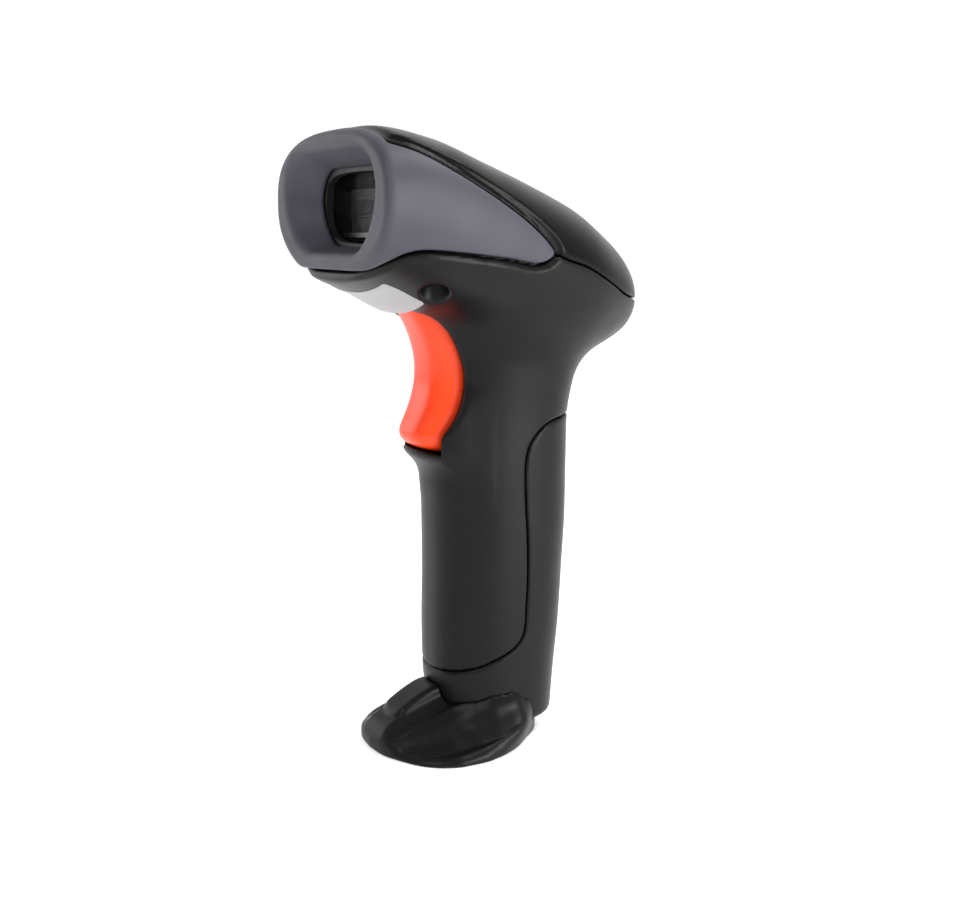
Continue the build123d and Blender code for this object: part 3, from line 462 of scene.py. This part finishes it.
def skin_piece(name, field, grid, material, **ties):
    points, faces = skin(field, grid)
    return add_mesh(name, points, faces, material, **ties)


# ---------------------------------------------------------------- materials


def new_material(name, colour, roughness, metallic=0.0, specular=0.5, coat=0.0, coat_roughness=0.1):
    """A surface shader whose plain values stand on its own sockets."""
    material = bpy.data.materials.new(name)
    material.use_nodes = True
    shader = material.node_tree.nodes["Principled BSDF"]
    shader.inputs["Base Color"].default_value = (*colour, 1)
    shader.inputs["Roughness"].default_value = roughness
    shader.inputs["Metallic"].default_value = metallic
    shader.inputs["Specular IOR Level"].default_value = specular
    shader.inputs["Coat Weight"].default_value = coat
    shader.inputs["Coat Roughness"].default_value = coat_roughness
    return material, shader


def noise(material, size_mm, detail=3.0, stretch=(1, 1, 1)):
    """Noise whose features are about size_mm across, fixed to the object."""
    nodes, links = material.node_tree.nodes, material.node_tree.links
    place = nodes.new("ShaderNodeTexCoord")
    mapping = nodes.new("ShaderNodeMapping")
    mapping.inputs["Scale"].default_value = stretch
    texture = nodes.new("ShaderNodeTexNoise")
    texture.inputs["Scale"].default_value = 1 / (size_mm * MILLIMETRE)
    texture.inputs["Detail"].default_value = detail
    links.new(place.outputs["Object"], mapping.inputs["Vector"])
    links.new(mapping.outputs["Vector"], texture.inputs["Vector"])
    return texture.outputs["Fac"]


def add_bump(material, shader, height, strength, depth_mm):
    nodes, links = material.node_tree.nodes, material.node_tree.links
    bump = nodes.new("ShaderNodeBump")
    bump.inputs["Strength"].default_value = strength
    bump.inputs["Distance"].default_value = depth_mm * MILLIMETRE
    links.new(height, bump.inputs["Height"])
    links.new(bump.outputs["Normal"], shader.inputs["Normal"])


def vary_roughness(material, shader, source, low, high):
    nodes, links = material.node_tree.nodes, material.node_tree.links
    spread = nodes.new("ShaderNodeMapRange")
    spread.inputs["From Min"].default_value = NOISE_LOW
    spread.inputs["From Max"].default_value = NOISE_HIGH
    spread.inputs["To Min"].default_value = low
    spread.inputs["To Max"].default_value = high
    links.new(source, spread.inputs["Value"])
    links.new(spread.outputs["Result"], shader.inputs["Roughness"])


def vary_colour(material, shader, source, dark, light):
    nodes, links = material.node_tree.nodes, material.node_tree.links
    ramp = nodes.new("ShaderNodeValToRGB")
    for stop, position, colour in zip(ramp.color_ramp.elements, (NOISE_LOW, NOISE_HIGH), (dark, light)):
        stop.position, stop.color = position, (*colour, 1)
    links.new(source, ramp.inputs["Fac"])
    links.new(ramp.outputs["Color"], shader.inputs["Base Color"])


def tinted(colour, factor):
    return tuple(min(1.0, c * factor) for c in colour)


def moulded(name, colour, roughness, grain_mm=0.35, grain=0.10, **shine):
    """Moulded plastic: a fine spark-eroded grain, and a slight change of tone and gloss over the part."""
    material, shader = new_material(name, colour, roughness, **shine)
    vary_colour(material, shader, noise(material, 14.0, 4.0), tinted(colour, 0.93), tinted(colour, 1.07))
    vary_roughness(material, shader, noise(material, 6.0, 5.0), roughness * 0.92, roughness * 1.08)
    add_bump(material, shader, noise(material, grain_mm, 2.0), grain, 0.02)
    return material


def metal(name, colour, roughness, brushed=(1, 1, 8)):
    """Plated or rolled metal with fine lines from its making."""
    material, shader = new_material(name, colour, roughness, metallic=1.0)
    vary_roughness(material, shader, noise(material, 1.2, 4.0, brushed), roughness * 0.75, roughness * 1.3)
    add_bump(material, shader, noise(material, 0.5, 3.0, brushed), 0.12, 0.01)
    return material


def circuit_board(name, colour):
    """Solder mask with the faint relief and lighter tone of copper tracks under it."""
    material, shader = new_material(name, colour, 0.35, coat=0.4, coat_roughness=0.2)
    nodes, links = material.node_tree.nodes, material.node_tree.links
    tracks = nodes.new("ShaderNodeTexVoronoi")
    tracks.distance = "MANHATTAN"
    tracks.inputs["Scale"].default_value = 420.0
    place = nodes.new("ShaderNodeTexCoord")
    links.new(place.outputs["Object"], tracks.inputs["Vector"])
    vary_colour(material, shader, tracks.outputs["Distance"], tinted(colour, 0.6), tinted(colour, 1.7))
    add_bump(material, shader, tracks.outputs["Distance"], 0.25, 0.04)
    return material


def clear_plastic(name, colour, roughness, alpha):
    """Thin clear sheet with faint haze, seen mostly by its reflections."""
    material, shader = new_material(name, colour, roughness, specular=0.12)
    shader.inputs["Alpha"].default_value = alpha
    add_bump(material, shader, noise(material, 2.0, 2.0), 0.03, 0.01)
    return material


# ---------------------------------------------------------------- settings


def size_property(name, description, default):
    return bpy.props.FloatProperty(name=name, description=description, default=default, unit="LENGTH")


def colour_property(name, description, default):
    return bpy.props.FloatVectorProperty(
        name=name, description=description, default=default, subtype="COLOR", size=3, min=0, max=1
    )


class ScannerSettings(bpy.types.PropertyGroup):
    """Sizes in metres and colours of the scanner."""

    head_length: size_property("Head length", "Mouth to tail", 0.0865)
    head_width: size_property("Head width", "Across the mouth", 0.0686)
    head_height: size_property("Head height", "Top of the handle to the crown", 0.055)
    grip_height: size_property("Handle height", "Floor to the lowest point of the head", 0.100)
    grip_width: size_property("Handle width", "Side to side", 0.0312)
    grip_depth: size_property("Handle depth", "Front to back", 0.038)
    foot_length: size_property("Foot length", "Toe to heel", 0.046)
    foot_width: size_property("Foot width", "Side to side", 0.046)
    foot_height: size_property("Foot height", "Floor to the top of the foot", 0.015)
    wall: size_property("Wall", "Thickness of the covers", 0.0022)
    gap: size_property("Seam gap", "Between two covers", 0.0003)
    edge: size_property("Edge rounding", "Along the seams", 0.0007)
    neck: size_property("Neck fillet", "Between the head and the handle", 0.009)
    detail: size_property("Detail", "Spacing of the points of the covers", 0.0005)
    casing: colour_property("Casing", "Moulded black covers", (0.0050, 0.0048, 0.0053))
    cover: colour_property("Top cover", "Slightly glossier black", (0.0046, 0.0044, 0.0048))
    bumper: colour_property("Bumper", "Soft grey nose", (0.058, 0.057, 0.073))
    trigger: colour_property("Trigger", "Glossy orange", (1.0, 0.060, 0.010))
    label: colour_property("Label", "Blank sticker", (0.33, 0.33, 0.33))


class Sizes:
    """The settings' lengths in millimetres, with the places that follow from them and from the frame."""

    def __init__(self, settings):
        for name in ("head_length", "head_width", "head_height", "grip_height", "grip_width", "grip_depth",
                     "foot_length", "foot_width", "foot_height", "wall", "gap", "edge"):
            setattr(self, name, getattr(settings, name) / MILLIMETRE)
        self.neck_fillet = settings.neck / MILLIMETRE
        self.step = 1 * settings.detail / MILLIMETRE
        self.mouth_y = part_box("nose_bezel")[0][1] / MILLIMETRE
        self.rim_depth, self.rim_round = 3.6, 2.2
        self.funnel_depth = 7.9
        self.mouth_half, self.throat_half = 27.4, 19.5
        self.mouth_low, self.mouth_high = self.grip_height + 25.5, self.grip_height + 50.4
        self.throat_low, self.throat_high = self.grip_height + 27.5, self.grip_height + 45.0
        self.mouth_corner, self.throat_corner = 11.5, 8.5
        self.grip_bottom = 4.5
        pin_low, pin_high = (np.array(c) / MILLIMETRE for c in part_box("trigger_pin"))
        self.pivot_y, self.pivot_z = (pin_low[1] + pin_high[1]) / 2, (pin_low[2] + pin_high[2]) / 2
        self.trigger_half, self.trigger_gap, self.trigger_reach = 9.5, 0.5, 33.0
        self.slot_floor = self.pivot_z - self.trigger_reach - self.trigger_gap
        self.foot_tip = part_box("foot")[0][1] / MILLIMETRE


def sizes_now():
    return Sizes(bpy.context.scene.scanner)


def screws_of(node):
    """A mirrored pair of screws: distance from the middle, place along Y, lowest point."""
    low, high = (np.array(corner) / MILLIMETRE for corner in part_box(node))
    return high[0] - SCREW_HEAD_RADIUS, (low[1] + high[1]) / 2, low[2]


def casing_material():
    """The housing, rear grip and foot share one material, made once."""
    colour = tuple(bpy.context.scene.scanner.casing)
    made = bpy.data.materials.get("satin_black")
    return made or moulded("satin_black", colour, 0.38, specular=0.17)


# ---------------------------------------------------------------- pieces


class SCANNER_OT_bumper(bpy.types.Operator):
    """Soft grey bumper: the rim round the mouth, its funnel and the two side wings"""

    bl_idname = "scanner.bumper"
    bl_label = "Nose bumper"

    def execute(self, context):
        sizes = sizes_now()
        settings = context.scene.scanner
        grid = Grid((-37, sizes.mouth_y - 2.5, 115), (37, 4, 159), sizes.step)
        wing_wall, cup_wall, cup_inset, mouth_round = 1.9, 1.6, 1.0, 1.8
        head = head_field(grid, sizes)
        funnel = mouth_field(grid, sizes)
        back = grid.y - sizes.mouth_y
        outside = both(head, grid.side(bumper_outline(sizes)) + sizes.gap / 2, sizes.edge)
        wings = both(outside, -(head + wing_wall))
        rim = both(outside, back - sizes.rim_depth)
        cup = both(both(funnel - cup_wall, back - sizes.funnel_depth), head + cup_inset)
        shape = both(either(either(wings, rim), cup), -funnel, mouth_round)
        colour = tuple(settings.bumper)
        material = moulded("bumper_grey", colour, 0.52, grain_mm=0.25, grain=0.16, specular=0.28)
        skin_piece("nose_bumper", shape, grid, material, replaces=["nose_bezel"], slot="bumper_grey")
        return {"FINISHED"}


class SCANNER_OT_top_cover(bpy.types.Operator):
    """Upper shell of the head, stepped down beside the bumper"""

    bl_idname = "scanner.top_cover"
    bl_label = "Top cover"

    def execute(self, context):
        sizes = sizes_now()
        settings = context.scene.scanner
        grid = Grid((-37, sizes.mouth_y + 1, 108), (37, 44, 159), sizes.step)
        plain = head_field(grid, sizes)
        bumper = grid.side(bumper_outline(sizes))
        upper = grid.side(upper_outline(sizes))
        step_depth, step_width, step_slope = 0.9, 1.3, 1.6
        outer = plain + step_depth * (1 - ease((bumper - step_width) / step_slope))
        shape = both(outer, upper + sizes.gap / 2, sizes.edge)
        shape = both(shape, -bumper + sizes.gap / 2, sizes.edge)
        shape = both(shape, -(outer + sizes.wall))
        lip = seam_lip(plain, both(upper, -bumper), near=2.1, deep=3.8, reach=2.5)
        shape = either(shape, both(lip, sizes.mouth_y + 5.0 - grid.y))
        material = moulded("cover_black", tuple(settings.cover), 0.28, grain=0.06, specular=0.10)
        skin_piece("top_shell", shape, grid, material, replaces=["top_cover"], slot="casing_black")
        return {"FINISHED"}


class SCANNER_OT_housing(bpy.types.Operator):
    """Lower shell of the head in one piece with the front of the handle, its trigger slot and screw wells"""

    bl_idname = "scanner.housing"
    bl_label = "Main housing"

    def execute(self, context):
        sizes = sizes_now()
        grid = Grid((-37, sizes.mouth_y - 1.5, 14), (37, 44, 132), sizes.step)
        plain = body_field(grid, sizes)
        bumper = grid.side(bumper_outline(sizes))
        upper = grid.side(upper_outline(sizes))
        rear = grid.side(rear_outline(sizes))
        step_depth, step_width, step_slope = 0.7, 0.8, 1.4
        outer = either(plain, guard_field(grid, sizes), 3.0)
        outer = outer + step_depth * (1 - ease((bumper - step_width) / step_slope))
        shape = both(outer, -upper + sizes.gap / 2, sizes.edge)
        shape = both(shape, -bumper + sizes.gap * 1.5, sizes.edge)
        shape = both(shape, -rear + sizes.gap / 2, sizes.edge)
        shape = both(shape, -(plain + sizes.wall))
        lip = seam_lip(plain, both(both(-upper, -bumper), -rear), near=2.35, deep=3.5, reach=2.0)
        shape = either(shape, both(lip, sizes.grip_height + 4.0 - grid.z))
        # Screw wells, each in a tube whose floor the screw head sits against
        screw_x, screw_y, screw_low = screws_of("head_screws")
        well, shank, tube_wall, floor_wall = 3.3, 1.35, 1.1, 1.1
        seat = screw_low + 1.8
        from_well = np.sqrt((np.abs(grid.x) - screw_x) ** 2 + (grid.y - screw_y) ** 2)
        tube = both(both(from_well - well - tube_wall, grid.z - seat - floor_wall), outer)
        shape = either(shape, both(tube, sizes.grip_height - grid.z))
        shape = both(shape, -both(from_well - well, grid.z - seat), 0.6)
        shape = both(shape, -both(from_well - shank, grid.z - seat - 6))
        shape = both(shape, -slot_field(grid, sizes), 0.8)
        shape = both(shape, -scoop_field(grid, sizes), 1.0)
        skin_piece("housing", shape, grid, casing_material(), replaces=["main_housing"], slot="casing_black")
        return {"FINISHED"}


class SCANNER_OT_rear_grip(bpy.types.Operator):
    """Back shell of the handle with the collar that closes its lower end, and the charging port"""

    bl_idname = "scanner.rear_grip"
    bl_label = "Rear grip"

    def execute(self, context):
        sizes = sizes_now()
        grid = Grid((-19, -23, 1), (19, 30, 92), sizes.step)
        outer = grip_field(grid, sizes)
        shape = both(outer, grid.side(rear_outline(sizes)) + sizes.gap / 2, sizes.edge)
        inner = both(outer + sizes.wall, sizes.grip_bottom + sizes.wall - grid.z)
        shape = both(shape, -inner)
        low, high = (np.array(c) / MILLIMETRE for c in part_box("charging_socket"))
        clearance = 0.25
        middle = (low[2] + high[2]) / 2
        tall = (high[2] - low[2]) / 2 + clearance
        wide = (high[0] - low[0]) / 2 + clearance
        flat = np.maximum(np.abs(grid.x) - wide + tall, 0)
        port = both(np.sqrt(flat**2 + (grid.z - middle) ** 2) - tall, 5 - grid.y)
        shape = both(shape, -port, 0.6)
        skin_piece("rear_shell", shape, grid, casing_material(), replaces=["rear_grip"], slot="casing_black")
        return {"FINISHED"}


class SCANNER_OT_foot(bpy.types.Operator):
    """Flared foot: a raised tongue between two channels, and a wing with a dished flank on each side"""

    bl_idname = "scanner.foot"
    bl_label = "Foot"

    def execute(self, context):
        sizes = sizes_now()
        grid = Grid((-25, sizes.foot_tip - 2, -1.5), (25, 13, 18.5), sizes.step * 0.8)
        x, y, z = np.abs(grid.x), grid.y, grid.z
        # Each wing leans out as it rises toward the heel
        lean = 0.45 * ease((y + 14.0) / 14.0) * ease((9.0 - y) / 9.0) * z
        half = along(FOOT_PLAN, y) * sizes.foot_width / PLAN_WIDTH + lean
        plan = both(as_distance(x - half, grid.step), sizes.foot_tip - 0.3 - y, 1.6)
        plan = both(plan, y - sizes.foot_tip - sizes.foot_length + 1.0, 2.0)
        # From the middle outward the top goes through a channel, up to a ridge and down a dished flank
        ridge_x, ridge_z = along(RIDGE_SIDE, y), along(RIDGE_TOP, y)
        tongue_half, channel_start, channel_depth, dish_depth = 4.9, 4.6, 1.0, 1.2
        floor_z = np.maximum(along(CHANNEL_FLOOR, y), ridge_z)
        inner = np.clip((x - channel_start) / (ridge_x - channel_start), 0, 1)
        hollow = channel_depth * np.sin(np.pi * inner) * ease((y + 35) / 5)
        channel = floor_z + (ridge_z - floor_z) * inner - hollow
        outer = np.clip(1 + plan / np.maximum(-plan + x - ridge_x, 0.1), 0, 1)
        dish = np.exp(-(((outer - 0.54) / 0.27) ** 6)) * np.exp(-(((y + 16.5) / 13.5) ** 6))
        flank = ridge_z - (ridge_z - along(FOOT_EDGE, y)) * outer**0.9 - dish_depth * dish
        # The slopes are about 35 degrees, so heights over them are scaled to be nearer to distances
        dome = both(plan, (z - np.where(x < ridge_x, channel, flank)) * 0.82, 1.3)
        tongue = both((z - along(TONGUE_TOP, y)) * 0.8, x - tongue_half, 1.7)
        tongue = both(tongue, -31.4 + 0.07 * x**2 - y, 1.6)
        dome = either(dome, both(both(tongue, y + 13.0), plan), 0.6)
        shape = both(both(dome, z - sizes.foot_height - 0.4, 1.5), -z, 0.8)
        handle = both(grip_field(grid, sizes) - 0.15, sizes.grip_bottom - 0.2 - z)
        shape = both(shape, -handle, 0.5)
        screw_x, screw_y, screw_low = screws_of("foot_screws")
        from_screw = np.sqrt((x - screw_x) ** 2 + (y - screw_y) ** 2)
        shape = both(shape, -both(from_screw - SCREW_HEAD_RADIUS - 0.3, z - screw_low - 1.85), 0.4)
        shape = both(shape, -(from_screw - 1.4))
        skin_piece("foot_shell", shape, grid, casing_material(), replaces=["foot"], slot="casing_black")
        return {"FINISHED"}


class SCANNER_OT_trigger(bpy.types.Operator):
    """Glossy trigger: a hollowed finger face, cheeks on the pivot pin and the rib that presses the switch"""

    bl_idname = "scanner.trigger"
    bl_label = "Trigger"

    def execute(self, context):
        sizes = sizes_now()
        settings = context.scene.scanner
        grid = Grid((-11, -30, 73), (11, -6, 114), sizes.step * 0.7)
        rise = grid.z - sizes.pivot_z
        # The finger face is hollowed, and straightens below its waist
        waist, deepest, hollow_depth, hollow_span, lower_face = -12.5, -7.9, 5.6, 15.5, -13.4
        hollow = deepest - hollow_depth * ((rise - waist) / hollow_span) ** 2
        front = sizes.pivot_y + np.where(rise < waist, both(hollow, lower_face, 2.5), hollow)
        front = front + 0.010 * grid.x**2
        half = sizes.trigger_half * along(TRIGGER_SIDES, rise)
        from_pivot = np.sqrt((grid.y - sizes.pivot_y) ** 2 + rise**2)
        outer = both(as_distance(front - grid.y, grid.step), np.abs(grid.x) - half, 6.5)
        outer = both(outer, from_pivot - sizes.trigger_reach, 4.0)
        outer = both(outer, rise - 4.2, 1.0)
        back, wall = grid.y - sizes.pivot_y - 3.2, 1.8
        shape = both(both(outer, back, 0.8), -(outer + wall))
        # Bosses on the pivot pin, and the rib that presses the switch
        boss, pin = 3.0, 1.05
        shape = either(shape, both(from_pivot - boss, np.abs(np.abs(grid.x) - 8.4) - 1.0))
        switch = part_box("switch_plunger")[0][1] / MILLIMETRE
        rib_half, rib_z, press_gap = 2.0, sizes.pivot_z - 8.0, 0.3
        low, high = (-rib_half, -20.5, rib_z - 1.5), (rib_half, switch - press_gap, rib_z + 1.5)
        rib = box_field(grid.x, grid.y, grid.z, low, high)
        shape = either(shape, both(rib, outer + 0.5))
        shape = both(shape, -(from_pivot - pin))
        colour = tuple(settings.trigger)
        shine = {"specular": 0.25, "coat": 0.12, "coat_roughness": 0.1}
        material = moulded("trigger_orange", colour, 0.30, grain_mm=0.5, grain=0.02, **shine)
        ties = {"body": "trigger", "replaces": ["trigger"], "slot": "trigger_orange"}
        skin_piece("finger_trigger", shape, grid, material, **ties)
        return {"FINISHED"}


class SCANNER_OT_label(bpy.types.Operator):
    """Blank sticker that follows the underside of the nose"""

    bl_idname = "scanner.label"
    bl_label = "Label"

    def execute(self, context):
        sizes = sizes_now()
        settings = context.scene.scanner
        half, length, thick, corner, float_gap = 18.5, 10.4, 0.12, 0.5, 0.03
        front = sizes.mouth_y + 6.0
        columns, rows = 60, 20
        points, faces = [], []
        for lift in (float_gap, float_gap + thick):
            for row in range(rows + 1):
                y = front + length * row / rows
                to_end = max(corner - min(y - front, front + length - y), 0)
                inset = corner - math.sqrt(max(corner**2 - to_end**2, 0))
                middle, _, low, width, _, power = (float(v) for v in head_columns(sizes, np.array(y)))
                for column in range(columns + 1):
                    x = (2 * column / columns - 1) * (half - inset)
                    z = middle - low * (1 - (abs(x) / width) ** power) ** (1 / power)
                    points.append((x, y, z - lift))
        across, layer = columns + 1, (rows + 1) * (columns + 1)
        for row in range(rows):
            for column in range(columns):
                a = row * across + column
                faces.append((a, a + 1, a + 1 + across, a + across))
                faces.append((a + layer, a + across + layer, a + 1 + across + layer, a + 1 + layer))
        first, last = list(range(across)), [rows * across + c for c in range(columns - 1, -1, -1)]
        right = [r * across + columns for r in range(1, rows + 1)]
        left = [r * across for r in range(rows - 1, 0, -1)]
        edge = first + right + last + left
        for a, b in zip(edge, edge[1:] + edge[:1]):
            faces.append((a, a + layer, b + layer, b))
        material, shader = new_material("label_white", tuple(settings.label), 0.42)
        vary_roughness(material, shader, noise(material, 3.0, 4.0), 0.38, 0.48)
        add_bump(material, shader, noise(material, 0.15, 3.0), 0.15, 0.01)
        add_mesh("blank_label", points, faces, material, replaces=["label"], slot="label_white", smooth=False)
        return {"FINISHED"}


class SCANNER_OT_engine(bpy.types.Operator):
    """Finishes of the scan engine, its window and the electronics"""

    bl_idname = "scanner.engine"
    bl_label = "Engine and electronics finishes"

    def execute(self, context):
        green = (0.012, 0.10, 0.035)
        finishes = {
            "scan_window": clear_plastic("window_clear", (0.02, 0.02, 0.022), 0.06, 0.10),
            "window_frame": moulded("frame_black", (0.011, 0.011, 0.012), 0.55),
            "engine_chassis": moulded("engine_black", (0.035, 0.034, 0.037), 0.34),
            "light_bar": moulded("light_bar", (0.10, 0.095, 0.10), 0.22, grain=0.03, coat=0.5),
            "slit_cover": moulded("lens_dark", (0.045, 0.043, 0.048), 0.16, grain=0.02, coat=0.6),
            "engine_leds": moulded("led_white", (0.80, 0.78, 0.66), 0.3, coat=0.6),
            "lens_barrel": moulded("barrel_black", (0.012, 0.012, 0.012), 0.35),
            "image_sensor": moulded("sensor_dark", (0.02, 0.02, 0.035), 0.15, grain=0.02, coat=0.8),
            "board_chips": moulded("chip_black", (0.014, 0.014, 0.015), 0.5, grain_mm=0.15, grain=0.2),
            "buzzer": moulded("buzzer_black", (0.016, 0.016, 0.016), 0.4),
            "switch_body": moulded("switch_black", (0.018, 0.018, 0.018), 0.45),
            "switch_plunger": moulded("plunger_black", (0.025, 0.025, 0.026), 0.35),
            "engine_flex": moulded("flex_amber", (0.42, 0.14, 0.02), 0.28, coat=0.5),
            "battery_cell": moulded("cell_wrap", (0.02, 0.10, 0.30), 0.3, coat=0.6),
            "battery_holder": moulded("holder_black", (0.02, 0.02, 0.021), 0.5),
            "battery_leads": moulded("lead_red", (0.45, 0.012, 0.010), 0.4),
        }
        board = circuit_board("board_green", green)
        for node in ("led_board", "engine_board", "main_board", "trigger_board", "charge_board"):
            finishes[node] = board
        for node, material in finishes.items():
            paint(node, material)
        return {"FINISHED"}


class SCANNER_OT_metalwork(bpy.types.Operator):
    """Finishes of the screws, pin, spring, bracket, contacts and charging socket"""

    bl_idname = "scanner.metalwork"
    bl_label = "Metal finishes"

    def execute(self, context):
        zinc = metal("zinc_steel", (0.55, 0.55, 0.56), 0.34)
        black_zinc = metal("black_screw", (0.020, 0.020, 0.022), 0.38)
        spring = metal("spring_steel", (0.48, 0.48, 0.50), 0.25)
        nickel = metal("nickel", (0.66, 0.63, 0.57), 0.24)
        finishes = {
            "trigger_pin": zinc, "engine_bracket": zinc, "engine_screws": zinc, "board_screws": zinc,
            "radio_module": nickel, "battery_contacts": nickel, "charging_socket": nickel,
            "trigger_spring": spring, "head_screws": black_zinc, "foot_screws": black_zinc,
        }
        for node, material in finishes.items():
            paint(node, material)
        return {"FINISHED"}


def paint(node, material):
    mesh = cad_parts[node].data
    mesh.materials.clear()
    mesh.materials.append(material)


class SCANNER_OT_studio(bpy.types.Operator):
    """Pale floor, a room lit from behind, soft boxes and the camera"""

    bl_idname = "scanner.studio"
    bl_label = "Studio"

    def execute(self, context):
        lay_floor()
        scene = context.scene
        world = bpy.data.worlds.new("studio")
        world.use_nodes = True
        world.node_tree.nodes["Background"].inputs["Color"].default_value = (1.0, 1.0, 1.0, 1)
        backdrop_glow(world)
        scene.world = world
        scene.view_settings.view_transform = "Standard"
        for name, place, target, width, power in LIGHTS:
            soft_box(name, place, target, width, power)
        camera = bpy.data.cameras.new("camera")
        camera.sensor_width = 36.0
        camera.lens = CAMERA_LENS
        camera.clip_start = 0.01
        holder = bpy.data.objects.new("camera", camera)
        scene.collection.objects.link(holder)
        holder.location = CAMERA_PLACE
        turn, pitch = math.radians(CAMERA_TURN), math.radians(CAMERA_PITCH)
        level = math.cos(pitch)
        ahead = Vector((-math.sin(turn) * level, math.cos(turn) * level, -math.sin(pitch)))
        holder.rotation_euler = ahead.to_track_quat("-Z", "Y").to_euler()
        scene.camera = holder
        return {"FINISHED"}


def backdrop_glow(world):
    """A pale room that is brighter behind the scanner than before it, as with a lit backdrop."""
    nodes, links = world.node_tree.nodes, world.node_tree.links
    place = nodes.new("ShaderNodeTexCoord")
    toward = nodes.new("ShaderNodeVectorMath")
    toward.operation = "DOT_PRODUCT"
    toward.inputs[1].default_value = (-0.875, 0.485, 0.0)
    spread = nodes.new("ShaderNodeMapRange")
    spread.inputs["From Min"].default_value = 0.0
    spread.inputs["From Max"].default_value = 0.75
    spread.inputs["To Min"].default_value = 0.38
    spread.inputs["To Max"].default_value = 1.05
    links.new(place.outputs["Generated"], toward.inputs[0])
    links.new(toward.outputs["Value"], spread.inputs["Value"])
    links.new(spread.outputs["Result"], nodes["Background"].inputs["Strength"])


def lay_floor():
    """A wide, finely uneven floor sheet, with a little light of its own to stay pale far off."""
    size, count = 6.0 / MILLIMETRE, 24
    points, faces = [], []
    for i in range(count + 1):
        for j in range(count + 1):
            points.append(((i / count - 0.5) * size, (j / count - 0.5) * size, 0.0))
    for i in range(count):
        for j in range(count):
            a = i * (count + 1) + j
            faces.append((a, a + count + 1, a + count + 2, a + 1))
    material, shader = new_material("floor_white", (0.93, 0.93, 0.93), 0.6)
    shader.inputs["Emission Color"].default_value = (1, 1, 1, 1)
    shader.inputs["Emission Strength"].default_value = 0.45
    vary_roughness(material, shader, noise(material, 8.0, 3.0), 0.55, 0.7)
    floor = add_mesh("floor", points, faces, material, body=None)


def soft_box(name, place, target, size, power):
    light = bpy.data.lights.new(name, "AREA")
    light.shape = "RECTANGLE"
    light.size, light.size_y = size, size * 0.8
    light.energy = power
    holder = bpy.data.objects.new(name, light)
    bpy.context.scene.collection.objects.link(holder)
    holder.location = place
    holder.rotation_euler = (Vector(target) - Vector(place)).to_track_quat("-Z", "Y").to_euler()


class SCANNER_PT_build(bpy.types.Panel):
    """Builds the scanner piece by piece"""

    bl_label = "Barcode scanner"
    bl_idname = "SCANNER_PT_build"
    bl_space_type = "VIEW_3D"
    bl_region_type = "UI"
    bl_category = "Scanner"

    def draw(self, context):
        for name in ScannerSettings.__annotations__:
            self.layout.prop(context.scene.scanner, name)
        for operator in OPERATORS:
            self.layout.operator(operator.bl_idname)


OPERATORS = (
    SCANNER_OT_bumper,
    SCANNER_OT_top_cover,
    SCANNER_OT_housing,
    SCANNER_OT_rear_grip,
    SCANNER_OT_foot,
    SCANNER_OT_trigger,
    SCANNER_OT_label,
    SCANNER_OT_engine,
    SCANNER_OT_metalwork,
    SCANNER_OT_studio,
)


def register():
    for item in (ScannerSettings, *OPERATORS, SCANNER_PT_build):
        bpy.utils.register_class(item)
    bpy.types.Scene.scanner = bpy.props.PointerProperty(type=ScannerSettings)


def unregister():
    del bpy.types.Scene.scanner
    for item in (SCANNER_PT_build, *reversed(OPERATORS), ScannerSettings):
        bpy.utils.unregister_class(item)


def main():
    register()
    bpy.ops.scanner.bumper()
    bpy.ops.scanner.top_cover()
    bpy.ops.scanner.housing()
    bpy.ops.scanner.rear_grip()
    bpy.ops.scanner.foot()
    bpy.ops.scanner.trigger()
    bpy.ops.scanner.label()
    bpy.ops.scanner.engine()
    bpy.ops.scanner.metalwork()
    bpy.ops.scanner.studio()


if __name__ == "__main__":
    main()
